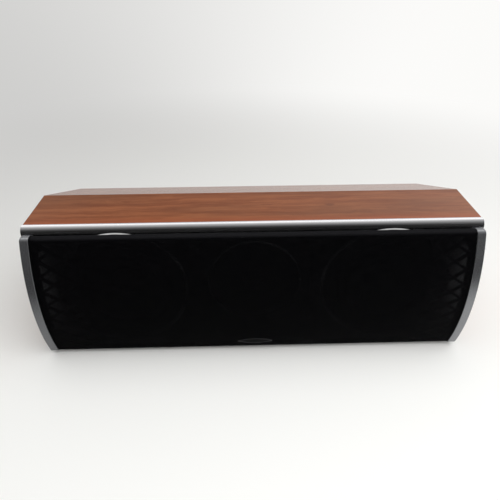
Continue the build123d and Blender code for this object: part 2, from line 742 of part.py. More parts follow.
# Woofer
def make_basket(side, screws):
    neck = BASKET_NECK_RADIUS
    shelf = -SPIDER_DEPTH - SPIDER_THICKNESS
    shelf_inner = SPIDER_RADIUS - SPIDER_LIP
    gap_radius = COIL_RADIUS + WINDING_THICKNESS + COIL_GAP
    basket = turned(
        (WOOFER_FLANGE_RADIUS, 0),
        (WOOFER_FLANGE_RADIUS, -FLANGE_THICKNESS),
        (BASKET_RADIUS, -FLANGE_THICKNESS),
        (BASKET_RADIUS, -BASKET_SHOULDER),
        (neck, -BASKET_NECK_TOP),
        (neck, -BASKET_DEPTH),
        (gap_radius + CUT, -BASKET_DEPTH),
        (gap_radius + CUT, -BASKET_DEPTH + BASKET_WALL),
        (neck - BASKET_WALL, -BASKET_DEPTH + BASKET_WALL),
        (neck - BASKET_WALL, shelf - SPIDER_SHELF),
        (shelf_inner, shelf - SPIDER_SHELF),
        (shelf_inner, shelf),
        (neck - BASKET_WALL, shelf),
        (neck - BASKET_WALL, -BASKET_NECK_TOP),
        (BASKET_RADIUS - BASKET_WALL, -BASKET_SHOULDER),
        (BASKET_RADIUS - BASKET_WALL, 0),
    )
    middle_radius = (BASKET_RADIUS + neck) / 2
    window_width = 2 * math.pi * middle_radius / BASKET_WINDOWS - BASKET_SPOKE
    low = -BASKET_NECK_TOP + BASKET_WALL
    high = -BASKET_SHOULDER - BASKET_WALL
    window_box = Box(BASKET_WINDOW_REACH, window_width, high - low)
    window = Pos(middle_radius, 0, (low + high) / 2) * window_box
    basket = basket - [
        Rot(0, 0, 360 / BASKET_WINDOWS * i) * window for i in range(BASKET_WINDOWS)
    ]
    pad_top = shelf - SPIDER_SHELF
    pad_x = neck - BASKET_WALL / 2 + TERMINAL_PAD / 2
    pad_z = pad_top - TERMINAL_PAD_HEIGHT / 2
    pad_box = Box(TERMINAL_PAD + BASKET_WALL, TERMINAL_PAD_WIDTH, TERMINAL_PAD_HEIGHT)
    pad = Pos(-side * pad_x, 0, pad_z) * pad_box
    return facing(basket + pad, side * WOOFER_X, Z_WOOFER) - screws


def trim_ring(inner, width, proud):
    """Ring with a bevelled outer flank and a face that swells inwards, laid flat on the fascia."""
    outer = inner + width
    foot = proud * RING_FOOT
    crest = outer - proud * RING_BEVEL
    swell = foot + (proud - foot) * RING_SWELL
    return turned_outline(
        Line((inner, 0), (inner, foot)),
        ThreePointArc((inner, foot), ((inner + crest) / 2, swell), (crest, proud)),
        Line((crest, proud), (outer, foot)),
        Line((outer, foot), (outer, 0)),
        Line((outer, 0), (inner, 0)),
    )


def make_surround():
    """Half-roll of rubber, glued to the basket outside and to the cone inside."""
    center = (ROLL_OUTER_RADIUS + ROLL_INNER_RADIUS) / 2
    thick = SURROUND_THICKNESS
    outer = ROLL_RADIUS + thick / 2
    inner = ROLL_RADIUS - thick / 2
    lip_out = ROLL_OUTER_RADIUS + SURROUND_LIP
    return turned_outline(
        Line((lip_out, 0), (lip_out, thick)),
        Line((lip_out, thick), (center + outer, thick)),
        ThreePointArc((center + outer, thick), (center, thick + outer), (center - outer, thick)),
        Line((center - outer, thick), (CONE_RIM, thick)),
        Line((CONE_RIM, thick), (CONE_RIM, 0)),
        Line((CONE_RIM, 0), (center - inner, 0)),
        Line((center - inner, 0), (center - inner, thick)),
        ThreePointArc((center - inner, thick), (center, thick + inner), (center + inner, thick)),
        Line((center + inner, thick), (center + inner, 0)),
        Line((center + inner, 0), (lip_out, 0)),
    )


def cone_height(radius):
    return -CONE_DEPTH * (CONE_RIM - radius) / (CONE_RIM - COIL_RADIUS)


def make_cone():
    return turned(
        (ROLL_INNER_RADIUS, 0),
        (ROLL_INNER_RADIUS, -CONE_THICKNESS),
        (CONE_RIM, -CONE_THICKNESS),
        (COIL_RADIUS, -CONE_DEPTH - CONE_THICKNESS),
        (COIL_RADIUS, -CONE_DEPTH),
        (CONE_RIM, 0),
    )


def make_dust_cap():
    inner = DUST_CAP_RADIUS - DUST_CAP_THICKNESS
    crown = cone_height(DUST_CAP_RADIUS) + DUST_CAP_HEIGHT
    inner_height = crown - DUST_CAP_THICKNESS - cone_height(inner)
    return turned_outline(
        cap_arc(DUST_CAP_RADIUS, DUST_CAP_HEIGHT, cone_height(DUST_CAP_RADIUS)),
        Line((DUST_CAP_RADIUS, cone_height(DUST_CAP_RADIUS)), (inner, cone_height(inner))),
        cap_arc(inner, inner_height, cone_height(inner)),
        Line((0, crown - DUST_CAP_THICKNESS), (0, crown)),
    )


def make_spider():
    """Corrugated disc that centres the voice coil."""
    start = SPIDER_RADIUS - SPIDER_LIP
    end = COIL_RADIUS + SPIDER_LIP
    step = (start - end) / (2 * SPIDER_WAVES)
    upper = [(SPIDER_RADIUS, -SPIDER_DEPTH), (start, -SPIDER_DEPTH)]
    for i in range(SPIDER_WAVES * 2 - 1):
        swing = SPIDER_WAVE_HEIGHT * (1 if i % 2 == 0 else -1)
        upper.append((start - step * (i + 1), -SPIDER_DEPTH + swing))
    upper += [(end, -SPIDER_DEPTH), (COIL_RADIUS, -SPIDER_DEPTH)]
    lower = [(radius, forward - SPIDER_THICKNESS) for radius, forward in reversed(upper)]
    return turned(*upper, *lower)


def make_voice_coil():
    top = -CONE_DEPTH + FORMER_ABOVE_NECK
    plate_middle = -BASKET_DEPTH - TOP_PLATE_THICKNESS / 2
    high = plate_middle + WINDING_LENGTH / 2
    low = plate_middle - WINDING_LENGTH / 2
    wound = COIL_RADIUS + WINDING_THICKNESS
    return turned(
        (COIL_RADIUS - FORMER_WALL, top),
        (COIL_RADIUS, top),
        (COIL_RADIUS, high),
        (wound, high),
        (wound, low),
        (COIL_RADIUS, low),
        (COIL_RADIUS, -FORMER_DEPTH),
        (COIL_RADIUS - FORMER_WALL, -FORMER_DEPTH),
    )


def tube(inner, outer, low, high):
    return turned((inner, low), (outer, low), (outer, high), (inner, high))


def make_top_plate():
    bore = COIL_RADIUS + WINDING_THICKNESS + COIL_GAP
    return tube(bore, TOP_PLATE_RADIUS, -BASKET_DEPTH - TOP_PLATE_THICKNESS, -BASKET_DEPTH)


def magnet_front():
    return -BASKET_DEPTH - TOP_PLATE_THICKNESS


def make_magnet():
    low = magnet_front() - MAGNET_THICKNESS
    return tube(MAGNET_BORE_RADIUS, MAGNET_RADIUS, low, magnet_front())


def make_pole_yoke():
    """Back plate with its pole, vented through the middle."""
    plate = magnet_front() - MAGNET_THICKNESS
    pole = COIL_RADIUS - FORMER_WALL - COIL_GAP
    return turned(
        (POLE_VENT_RADIUS, plate - BACK_PLATE_THICKNESS),
        (TOP_PLATE_RADIUS, plate - BACK_PLATE_THICKNESS),
        (TOP_PLATE_RADIUS, plate),
        (pole, plate),
        (pole, -BASKET_DEPTH),
        (POLE_VENT_RADIUS, -BASKET_DEPTH),
    )


# Tweeter
def make_faceplate(screws):
    """Plate with a shallow dish that opens from the dome to its flat rim."""
    rim = TWEETER_FLANGE_RADIUS - TWEETER_RIM
    mouth = (TWEETER_MOUTH_RADIUS, -TWEETER_MOUTH_DEPTH)
    middle = ((TWEETER_MOUTH_RADIUS + rim) / 2, -TWEETER_MOUTH_DEPTH / 2 - DISH_SAG)
    plate = turned_outline(
        Line((rim, 0), (TWEETER_FLANGE_RADIUS, 0)),
        Line((TWEETER_FLANGE_RADIUS, 0), (TWEETER_FLANGE_RADIUS, -FLANGE_THICKNESS)),
        Line((TWEETER_FLANGE_RADIUS, -FLANGE_THICKNESS), (TWEETER_BODY_RADIUS, -FLANGE_THICKNESS)),
        Line((TWEETER_BODY_RADIUS, -FLANGE_THICKNESS), (TWEETER_BODY_RADIUS, -TWEETER_BODY_DEPTH)),
        Line((TWEETER_BODY_RADIUS, -TWEETER_BODY_DEPTH), (TWEETER_MOUTH_RADIUS, -TWEETER_BODY_DEPTH)),
        Line((TWEETER_MOUTH_RADIUS, -TWEETER_BODY_DEPTH), mouth),
        ThreePointArc(mouth, middle, (rim, 0)),
    )
    return facing(plate, 0, Z_TWEETER) - screws


def make_dome():
    base = -TWEETER_BODY_DEPTH
    inner = DOME_RADIUS - DOME_THICKNESS
    return turned_outline(
        cap_arc(DOME_RADIUS, DOME_HEIGHT, base),
        Line((DOME_RADIUS, base), (inner, base)),
        cap_arc(inner, DOME_HEIGHT - DOME_THICKNESS, base),
        Line((0, base + DOME_HEIGHT - DOME_THICKNESS), (0, base + DOME_HEIGHT)),
    )


def make_tweeter_surround():
    """Small roll from the dome to a lip clamped under the faceplate."""
    base = -TWEETER_BODY_DEPTH
    low = base - DOME_LIP_THICKNESS
    foot = DOME_RADIUS
    edge = TWEETER_MOUTH_RADIUS
    center = (foot + edge) / 2
    outer = (edge - foot) / 2
    inner = outer - DOME_THICKNESS
    lip = edge + DOME_LIP
    return turned_outline(
        Line((lip, low), (lip, base)),
        Line((lip, base), (edge, base)),
        ThreePointArc((edge, base), (center, base + outer), (foot, base)),
        Line((foot, base), (center - inner, base)),
        ThreePointArc((center - inner, base), (center, base + inner), (center + inner, base)),
        Line((center + inner, base), (center + inner, low)),
        Line((center + inner, low), (lip, low)),
    )


def tweeter_plate_front():
    return -TWEETER_BODY_DEPTH - DOME_LIP_THICKNESS


def make_tweeter_coil():
    top = -TWEETER_BODY_DEPTH
    low = top - TWEETER_FORMER_LENGTH
    middle = tweeter_plate_front() - TWEETER_PLATE_THICKNESS / 2
    high = middle + TWEETER_WINDING_LENGTH / 2
    wound = TWEETER_COIL_RADIUS + TWEETER_WINDING_THICKNESS
    return turned(
        (TWEETER_COIL_RADIUS - TWEETER_FORMER_WALL, top),
        (TWEETER_COIL_RADIUS, top),
        (TWEETER_COIL_RADIUS, high),
        (wound, high),
        (wound, high - TWEETER_WINDING_LENGTH),
        (TWEETER_COIL_RADIUS, high - TWEETER_WINDING_LENGTH),
        (TWEETER_COIL_RADIUS, low),
        (TWEETER_COIL_RADIUS - TWEETER_FORMER_WALL, low),
    )


def make_tweeter_top_plate():
    bore = TWEETER_COIL_RADIUS + TWEETER_WINDING_THICKNESS + TWEETER_COIL_GAP
    front = tweeter_plate_front()
    return tube(bore, TWEETER_MAGNET_RADIUS, front - TWEETER_PLATE_THICKNESS, front)


def tweeter_magnet_front():
    return tweeter_plate_front() - TWEETER_PLATE_THICKNESS


def tweeter_yoke_front():
    return tweeter_magnet_front() - TWEETER_MAGNET_THICKNESS


def make_tweeter_magnet():
    front = tweeter_magnet_front()
    return tube(TWEETER_MAGNET_BORE_RADIUS, TWEETER_MAGNET_RADIUS, tweeter_yoke_front(), front)


def make_tweeter_yoke():
    front = tweeter_yoke_front()
    pole = TWEETER_COIL_RADIUS - TWEETER_FORMER_WALL - TWEETER_COIL_GAP
    return turned(
        (0, front - TWEETER_PLATE_THICKNESS),
        (TWEETER_MAGNET_RADIUS, front - TWEETER_PLATE_THICKNESS),
        (TWEETER_MAGNET_RADIUS, front),
        (pole, front),
        (pole, tweeter_plate_front()),
        (0, tweeter_plate_front()),
    )


# Rear port
def port_boss_radius():
    return PORT_RADIUS + PORT_FLARE + PORT_WALL


def make_port_tube():
    """Tube whose mouth flares out to a flat flange on the back panel."""
    face = PORT_FLANGE_THICKNESS
    mouth = PORT_RADIUS + PORT_FLARE
    throat = face - PORT_FLARE
    lean = PORT_FLARE * (1 - math.sqrt(0.5))
    flange = port_boss_radius() + PORT_FLANGE
    wall = PORT_RADIUS + PORT_WALL
    end = face - PORT_LENGTH
    boss = throat - PORT_WALL
    port = turned_outline(
        Line((flange, 0), (flange, face)),
        Line((flange, face), (mouth, face)),
        ThreePointArc((mouth, face), (PORT_RADIUS + lean, face - lean), (PORT_RADIUS, throat)),
        Line((PORT_RADIUS, throat), (PORT_RADIUS, end)),
        Line((PORT_RADIUS, end), (wall, end)),
        Line((wall, end), (wall, boss - PORT_WALL)),
        Line((wall, boss - PORT_WALL), (port_boss_radius(), boss)),
        Line((port_boss_radius(), boss), (port_boss_radius(), 0)),
        Line((port_boss_radius(), 0), (flange, 0)),
    )
    return rearward(port, PORT_X, Y_BACK, Z_BACK_MIDDLE)


# Terminal cup and binding posts
def rounded_block(width, height, corner, low, high):
    return Pos(0, 0, low) * extrude(RectangleRounded(width, height, corner), amount=high - low)


def cup_block(extra, low, high):
    """Body of the cup, grown by a clearance."""
    wall = CUP_WALL + extra
    size = (CUP_WIDTH + 2 * wall, CUP_HEIGHT + 2 * wall)
    return rounded_block(*size, CUP_CORNER + wall, low, high)


def cup_floor_y():
    return Y_BACK - CUP_DEPTH


def make_terminal_cup(screws):
    face = CUP_FLANGE_THICKNESS
    grow = 2 * (CUP_WALL + CUP_FLANGE)
    flange = rounded_block(CUP_WIDTH + grow, CUP_HEIGHT + grow, CUP_CORNER, 0, face)
    body = cup_block(0.0, -CUP_DEPTH - CUP_WALL, 0)
    pocket = rounded_block(CUP_WIDTH, CUP_HEIGHT, CUP_CORNER, -CUP_DEPTH, face + CUT)
    cup = flange + body - pocket
    hole = disc(POST_TAIL_RADIUS, -CUP_DEPTH - CUP_WALL - CUT, -CUP_DEPTH + CUT)
    cup = cup - [Pos(side * POST_SPACING / 2, 0, 0) * hole for side in (-1, 1)]
    return rearward(cup, 0, Y_BACK, Z_BACK_MIDDLE) - screws


def at_post(part, side):
    return rearward(part, side * POST_SPACING / 2, cup_floor_y(), Z_BACK_MIDDLE)


def make_post(side):
    """Plated stud with a plug bore in its end, a wire hole and a threaded tail."""
    top = POST_BASE_HEIGHT + POST_STUD_LENGTH
    post = turned(
        (0, -POST_TAIL_LENGTH),
        (POST_TAIL_RADIUS, -POST_TAIL_LENGTH),
        (POST_TAIL_RADIUS, 0),
        (POST_BASE_RADIUS, 0),
        (POST_BASE_RADIUS, POST_BASE_HEIGHT),
        (POST_STUD_RADIUS, POST_BASE_HEIGHT),
        (POST_STUD_RADIUS, top),
        (BANANA_RADIUS, top),
        (BANANA_RADIUS, top - BANANA_DEPTH),
        (0, top - BANANA_DEPTH),
    )
    drill = Rot(0, 90, 0) * Cylinder(WIRE_HOLE_RADIUS, 2 * POST_BASE_RADIUS)
    return at_post(post - Pos(0, 0, POST_BASE_HEIGHT + WIRE_HOLE_RISE) * drill, side)


def washer_low():
    return POST_BASE_HEIGHT + WASHER_GAP


def make_post_washer(side):
    bore = POST_STUD_RADIUS + THREAD_CLEARANCE
    low = washer_low()
    return at_post(tube(bore, WASHER_RADIUS, low, low + WASHER_THICKNESS), side)


def make_post_cap(side):
    """Fluted thumb cap, open at its end for a plug."""
    low = washer_low() + WASHER_THICKNESS + CAP_GAP
    inside = POST_BASE_HEIGHT + POST_STUD_LENGTH + CAP_GAP
    high = inside + CAP_END_WALL
    bore = POST_STUD_RADIUS + THREAD_CLEARANCE
    cap = turned(
        (bore, low),
        (CAP_RADIUS, low),
        (CAP_RADIUS, high - CAP_ROUND),
        (CAP_RADIUS - CAP_ROUND, high),
        (CAP_END_HOLE_RADIUS, high),
        (CAP_END_HOLE_RADIUS, inside),
        (bore, inside),
    )
    flute = disc(CAP_FLUTE_RADIUS, low + WASHER_THICKNESS, high + CUT)
    places = ring_places(CAP_FLUTES, CAP_RADIUS, 0.0)
    return at_post(cap - [Pos(x, y, 0) * flute for x, y in places], side)


def make_post_nuts():
    """A nut under the cup and one under the circuit board, on each tail."""
    nut_face = RegularPolygon(NUT_RADIUS, NUT_SIDES) - Circle(POST_TAIL_RADIUS)
    nut = extrude(nut_face, amount=NUT_THICKNESS)
    first = -CUP_WALL - NUT_THICKNESS
    second = first - CIRCUIT_THICKNESS - NUT_THICKNESS
    lows = (first, second)
    return group([at_post(Pos(0, 0, low) * nut, side) for side in (-1, 1) for low in lows])


# Crossover
def circuit_face_y():
    """Inner face of the circuit board, where its parts stand."""
    return cup_floor_y() - CUP_WALL - NUT_THICKNESS - CIRCUIT_THICKNESS


def on_circuit(part, x, z):
    """Stands a part on the circuit board, with its own Z towards the drivers."""
    return Pos(x, circuit_face_y(), Z_BACK_MIDDLE + z) * Rot(90, 0, 0) * part


def make_circuit_board():
    board = Box(CIRCUIT_WIDTH, CIRCUIT_HEIGHT, CIRCUIT_THICKNESS)
    board = Pos(0, 0, -CIRCUIT_THICKNESS / 2) * board
    hole = disc(POST_TAIL_RADIUS, -CIRCUIT_THICKNESS - CUT, CUT)
    board = board - [Pos(side * POST_SPACING / 2, 0, 0) * hole for side in (-1, 1)]
    return on_circuit(board, 0, 0)


def make_circuit_coils():
    coil = tube(CIRCUIT_COIL_BORE, CIRCUIT_COIL_RADIUS, 0, CIRCUIT_COIL_HEIGHT)
    x = CIRCUIT_WIDTH / 2 - CIRCUIT_COIL_RADIUS
    z = CIRCUIT_HEIGHT / 2 - CIRCUIT_COIL_RADIUS
    return group([on_circuit(coil, -x, z), on_circuit(coil, x, -z)])


def make_circuit_capacitors():
    can = Pos(0, 0, CAPACITOR_RADIUS) * Rot(0, 90, 0) * Cylinder(CAPACITOR_RADIUS, CAPACITOR_LENGTH)
    x = CIRCUIT_WIDTH / 2 - CAPACITOR_LENGTH / 2
    z = CIRCUIT_HEIGHT / 2 - CAPACITOR_RADIUS
    return group([on_circuit(can, x, z), on_circuit(can, -x, -z)])


def make_circuit_resistors():
    block = Pos(0, 0, RESISTOR_SIDE / 2) * Box(RESISTOR_LENGTH, RESISTOR_SIDE, RESISTOR_SIDE)
    z = CIRCUIT_HEIGHT / 2 - RESISTOR_SIDE / 2
    return group([on_circuit(block, 0, z), on_circuit(block, 0, -z)])


def lead(points):
    path = FilletPolyline(*points, radius=LEAD_BEND)
    start = Plane(origin=path @ 0, z_dir=path % 0)
    return sweep(start * Circle(LEAD_RADIUS), path=path)


def make_driver_leads():
    """Twin leads from the circuit board to the drivers, through the brace windows."""
    board_y = circuit_face_y()
    start_x = CIRCUIT_WIDTH / 2 - LEAD_DROP
    pad_x = WOOFER_X - BASKET_NECK_RADIUS - TERMINAL_PAD
    shelf = SPIDER_DEPTH + SPIDER_THICKNESS + SPIDER_SHELF
    pad_y = Y_FASCIA + shelf + TERMINAL_PAD_HEIGHT / 2
    yoke_y = Y_FASCIA - tweeter_yoke_front() + TWEETER_PLATE_THICKNESS
    middle_y = (Y_BAFFLE_IN + Y_BACK_IN) / 2
    leads = []
    for side in (-1, 1):
        points = [
            (side * start_x, board_y, Z_BACK_MIDDLE),
            (side * start_x, middle_y, Z_BACK_MIDDLE),
            (side * (pad_x - LEAD_DROP), middle_y, Z_WOOFER),
            (side * (pad_x - LEAD_DROP), pad_y, Z_WOOFER),
            (side * pad_x, pad_y, Z_WOOFER),
        ]
        leads.append(lead(points))
    upper = Z_TWEETER + LEAD_DROP
    points = [
        (0, board_y, Z_BACK_MIDDLE + LEAD_DROP),
        (0, board_y - 2 * LEAD_DROP, Z_BACK_MIDDLE + LEAD_DROP),
        (0, yoke_y + 2 * LEAD_DROP, upper),
        (0, yoke_y, upper),
    ]
    return group(leads + [lead(points)])


# Whole speaker
def make_speaker():
    screws = make_screws()
    parts = {
        "cabinet_wrap": make_cabinet_wrap(),
        "back_panel": make_back_panel(screws),
        "baffle_board": make_baffle_board(screws),
        "cabinet_braces": make_braces(),
        "damping_pads": make_damping_pads(),
        "rubber_feet": make_feet(),
        "front_fascia": make_front_fascia(screws),
        "top_trim": make_top_trim(),
        "mounting_screws": screws,
        "grille_frame": make_grille_frame(),
        "grille_cloth": make_grille_cloth(),
        "left_end_bar": make_end_bar(-1),
        "right_end_bar": make_end_bar(1),
        "grille_pegs": make_grille_pegs(),
        "peg_sockets": make_peg_sockets(),
        "badge_plate": make_badge(),
        "port_tube": make_port_tube(),
        "terminal_cup": make_terminal_cup(screws),
        "post_nuts": make_post_nuts(),
        "crossover_board": make_circuit_board(),
        "crossover_coils": make_circuit_coils(),
        "crossover_capacitors": make_circuit_capacitors(),
        "crossover_resistors": make_circuit_resistors(),
        "driver_leads": make_driver_leads(),
    }
    for name, side in (("left", -1), ("right", 1)):
        woofer = {
            "trim_ring": trim_ring(WOOFER_RING_INNER, WOOFER_RING_WIDTH, WOOFER_RING_PROUD),
            "surround": make_surround(),
            "cone": make_cone(),
            "dust_cap": make_dust_cap(),
            "spider": make_spider(),
            "voice_coil": make_voice_coil(),
            "top_plate": make_top_plate(),
            "magnet": make_magnet(),
            "pole_yoke": make_pole_yoke(),
        }
        parts[f"{name}_woofer_basket"] = make_basket(side, screws)
        for piece, solid in woofer.items():
            parts[f"{name}_woofer_{piece}"] = facing(solid, side * WOOFER_X, Z_WOOFER)
    tweeter = {
        "trim_ring": trim_ring(TWEETER_RING_INNER, TWEETER_RING_WIDTH, TWEETER_RING_PROUD),
        "dome": make_dome(),
        "surround": make_tweeter_surround(),
        "voice_coil": make_tweeter_coil(),
        "top_plate": make_tweeter_top_plate(),
        "magnet": make_tweeter_magnet(),
        "pole_yoke": make_tweeter_yoke(),
    }
    parts["tweeter_faceplate"] = make_faceplate(screws)
    for piece, solid in tweeter.items():
        parts[f"tweeter_{piece}"] = facing(solid, 0, Z_TWEETER)
    for name, side in (("red", -1), ("black", 1)):
        parts[f"{name}_post"] = make_post(side)
        parts[f"{name}_post_washer"] = make_post_washer(side)
        parts[f"{name}_post_cap"] = make_post_cap(side)
    return parts


os.makedirs("parts", exist_ok=True)
for node, solid in make_speaker().items():
    export_step(solid, f"parts/{node}.step")
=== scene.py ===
import math

import bmesh
import bpy
from mathutils import Matrix, Vector


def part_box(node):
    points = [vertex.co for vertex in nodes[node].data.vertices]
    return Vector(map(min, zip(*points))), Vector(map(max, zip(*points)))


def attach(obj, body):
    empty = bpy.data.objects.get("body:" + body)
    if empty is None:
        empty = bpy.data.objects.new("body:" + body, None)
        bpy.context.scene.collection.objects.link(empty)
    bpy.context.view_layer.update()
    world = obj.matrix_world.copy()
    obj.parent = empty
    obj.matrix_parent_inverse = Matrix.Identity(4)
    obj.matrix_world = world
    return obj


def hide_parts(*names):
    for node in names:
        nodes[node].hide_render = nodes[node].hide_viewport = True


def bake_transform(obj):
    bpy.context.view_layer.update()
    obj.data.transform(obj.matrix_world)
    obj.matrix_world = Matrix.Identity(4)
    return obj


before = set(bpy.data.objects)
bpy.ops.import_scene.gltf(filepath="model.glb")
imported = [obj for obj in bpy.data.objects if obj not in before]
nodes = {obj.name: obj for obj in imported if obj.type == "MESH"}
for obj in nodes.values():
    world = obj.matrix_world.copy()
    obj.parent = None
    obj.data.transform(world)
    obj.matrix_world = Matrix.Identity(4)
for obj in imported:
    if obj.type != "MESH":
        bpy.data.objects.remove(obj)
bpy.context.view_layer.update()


# Viewpoint. The photograph looks down on the front of the speaker from a little left of its middle.
# The camera's place and turns were solved from the corners of the cabinet, the trim and the bars.
PICTURE_SIDE = 500
FOCAL_LENGTH = 492.9
SENSOR_WIDTH = 36.0
NEAREST_VIEW = 0.01
CAMERA_PLACE = (-0.0171, -0.5528, 0.4319)
CAMERA_PITCH = 32.342
CAMERA_YAW = 1.483
CAMERA_ROLL = 0.239

camera_data = bpy.data.cameras.new("camera")
camera_data.sensor_width = SENSOR_WIDTH
camera_data.lens = FOCAL_LENGTH * SENSOR_WIDTH / PICTURE_SIDE
camera_data.clip_start = NEAREST_VIEW
camera = bpy.data.objects.new("camera", camera_data)
camera.matrix_world = (
    Matrix.Translation(CAMERA_PLACE)
    @ Matrix.Rotation(math.radians(-CAMERA_YAW), 4, "Z")
    @ Matrix.Rotation(math.radians(90 - CAMERA_PITCH), 4, "X")
    @ Matrix.Rotation(math.radians(-CAMERA_ROLL), 4, "Z")
)
bpy.context.scene.collection.objects.link(camera)
bpy.context.scene.camera = camera
bpy.context.scene.view_settings.view_transform = "Standard"


# Studio. A pale sheet under one broad soft panel, a lamp in front to the right, and a room whose
# light falls off towards the front, which is what the metal parts reflect past the edge of the sheet.
STUDIO_WHITE = (1.0, 0.995, 0.98, 1.0)
FLOOR_RADIUS = 9.0
FLOOR_SIDES = 96
FLOOR_ROUGHNESS = 0.85
FLOOR_SPECULAR = 0.1
FLOOR_NEAR = 0.3
FLOOR_FAR = 1.2
FLOOR_WHITE = 0.915
FLOOR_SHADE = 0.85
FLOOR_WARMTH = 0.98
FLOOR_FRONT_SPAN = (0.1, -0.1)
SHADE_SPAN = (0.1, 0.9)
SHADE_LEAN = 1.0
SHEET_EDGE = -0.135
SHEET_FADE = 0.27
SHEET_LEAN = 0.10
LEFT_SPAN = (0.1, -0.3)
LEFT_DIM = 0.38
FAR_LEFT = 0.62
FAR_RIGHT = 0.97
FAR_SPAN = (-0.65, 0.45)
HORIZON_LIGHT = 0.30
ZENITH_LIGHT = 0.42
ROOM_FRONT = 0.01
ROOM_TOP = 0.85
ROOM_TOP_SPAN = (-1.0, 0.3)
ROOM_CROWN = 1.1
ROOM_CROWN_SPAN = (0.0, 0.5)
ROOM_BACK_LEFT = 0.20
ROOM_BACK_RIGHT = 0.70
ROOM_BACK_SPAN = (-0.3, 0.6)
ROOM_LOW = 0.5
ROOM_LOW_SPAN = (0.4, 0.1)
ROOM_TURN_SPAN = (0.5, 0.85)
PANEL_PLACE = (0.36, -0.52, 1.45)
PANEL_TARGET = (0.36, -0.52, 0.0)
PANEL_SIZE = (2.8, 2.0)
PANEL_LIGHT = 0.84
SIDE_PLACE = (0.70, -0.90, 1.05)
SIDE_TARGET = (0.0, -0.05, 0.1)
SIDE_SIZE = (1.9, 1.9)
SIDE_LIGHT = 1.50


def add_node(tree, kind, inputs=None, **settings):
    """A node of that kind. Inputs are plain values, or sockets that they are linked from."""
    node = tree.nodes.new(kind)
    for name, value in settings.items():
        setattr(node, name, value)
    for name, value in (inputs or {}).items():
        if isinstance(value, bpy.types.NodeSocket):
            tree.links.new(value, node.inputs[name])
        else:
            node.inputs[name].default_value = value
    return node


def between(tree, value, low, high, to_low=0.0, to_high=1.0):
    """Socket that eases from one value to another as its input crosses a range."""
    span = {"Value": value, "From Min": low, "From Max": high, "To Min": to_low, "To Max": to_high}
    return add_node(tree, "ShaderNodeMapRange", span, interpolation_type="SMOOTHSTEP").outputs[0]


def calculate(tree, operation, first, second=0.0):
    return add_node(tree, "ShaderNodeMath", {0: first, 1: second}, operation=operation).outputs[0]


def mix_values(tree, factor, first, second):
    return add_node(tree, "ShaderNodeMix", {0: factor, 2: first, 3: second}).outputs[0]


def mix_shaders(tree, factor, first, second):
    return add_node(tree, "ShaderNodeMixShader", {0: factor, 1: first, 2: second}).outputs[0]


def split(tree, vector):
    """Sockets for the parts of a vector."""
    return add_node(tree, "ShaderNodeSeparateXYZ", {0: vector}).outputs


def length_of(tree, vector):
    return add_node(tree, "ShaderNodeVectorMath", {0: vector}, operation="LENGTH").outputs["Value"]


def place_on_piece(tree):
    return add_node(tree, "ShaderNodeTexCoord").outputs["Object"]


def start_material(name, roughness=0.5, metallic=0.0):
    material = bpy.data.materials.new(name)
    material.use_nodes = True
    shader = material.node_tree.nodes["Principled BSDF"]
    shader.inputs["Roughness"].default_value = roughness
    shader.inputs["Metallic"].default_value = metallic
    return material, material.node_tree, shader


def new_piece(name, shape, *materials):
    """Object made from a bmesh, which is freed."""
    mesh = bpy.data.meshes.new(name)
    shape.to_mesh(mesh)
    shape.free()
    for material in materials:
        mesh.materials.append(material)
    piece = bpy.data.objects.new(name, mesh)
    bpy.context.scene.collection.objects.link(piece)
    return piece


world = bpy.data.worlds.new("studio")
world.use_nodes = True
bpy.context.scene.world = world
room = world.node_tree
aim = split(room, add_node(room, "ShaderNodeTexCoord").outputs["Generated"])
rays = add_node(room, "ShaderNodeLightPath").outputs
overhead = between(room, aim["Y"], *ROOM_TOP_SPAN, ROOM_FRONT, ROOM_TOP)
crown = between(room, aim["Y"], *ROOM_CROWN_SPAN, 0.0, ROOM_CROWN)
overhead = calculate(room, "ADD", overhead, crown)
behind = between(room, aim["X"], *ROOM_BACK_SPAN, ROOM_BACK_LEFT, ROOM_BACK_RIGHT)
behind = calculate(room, "ADD", behind, between(room, aim["Z"], *ROOM_LOW_SPAN, 0.0, ROOM_LOW))
reflected = mix_values(room, between(room, aim["Y"], *ROOM_TURN_SPAN), overhead, behind)
ambient = between(room, aim["Z"], 0.0, 1.0, HORIZON_LIGHT, ZENITH_LIGHT)
level = mix_values(room, rays["Is Glossy Ray"], ambient, reflected)
far_wall = between(room, aim["X"], *FAR_SPAN, FAR_LEFT, FAR_RIGHT)
level = mix_values(room, rays["Is Camera Ray"], level, far_wall)
room.links.new(level, room.nodes["Background"].inputs["Strength"])
room.nodes["Background"].inputs["Color"].default_value = STUDIO_WHITE

floor_white, tree, shader = start_material("floor_white", roughness=FLOOR_ROUGHNESS)
shader.inputs["Specular IOR Level"].default_value = FLOOR_SPECULAR
spot = place_on_piece(tree)
axes = split(tree, spot)
# Painted shade: the floor's colour darkens towards the back and the left.
leaning = calculate(tree, "SUBTRACT", axes["Y"], calculate(tree, "MULTIPLY", axes["X"], SHADE_LEAN))
floor_tone_with_painted_shade = between(tree, leaning, *SHADE_SPAN, FLOOR_WHITE, FLOOR_SHADE)
warm = calculate(tree, "MULTIPLY", floor_tone_with_painted_shade, FLOOR_WARMTH)
tint = add_node(tree, "ShaderNodeCombineColor", {0: floor_tone_with_painted_shade, 1: floor_tone_with_painted_shade, 2: warm}).outputs[0]
tree.links.new(tint, shader.inputs["Base Color"])
distance = length_of(tree, spot)
heading = calculate(tree, "DIVIDE", axes["X"], distance)
far_level = between(tree, heading, *FAR_SPAN, FAR_LEFT, FAR_RIGHT)
far_light = {"Color": STUDIO_WHITE, "Strength": far_level}
glow = add_node(tree, "ShaderNodeEmission", far_light).outputs[0]
far_off = between(tree, distance, FLOOR_NEAR, FLOOR_FAR)
whole = mix_shaders(tree, far_off, shader.outputs[0], glow)
slanted = calculate(tree, "ADD", axes["Y"], calculate(tree, "MULTIPLY", axes["X"], SHEET_LEAN))
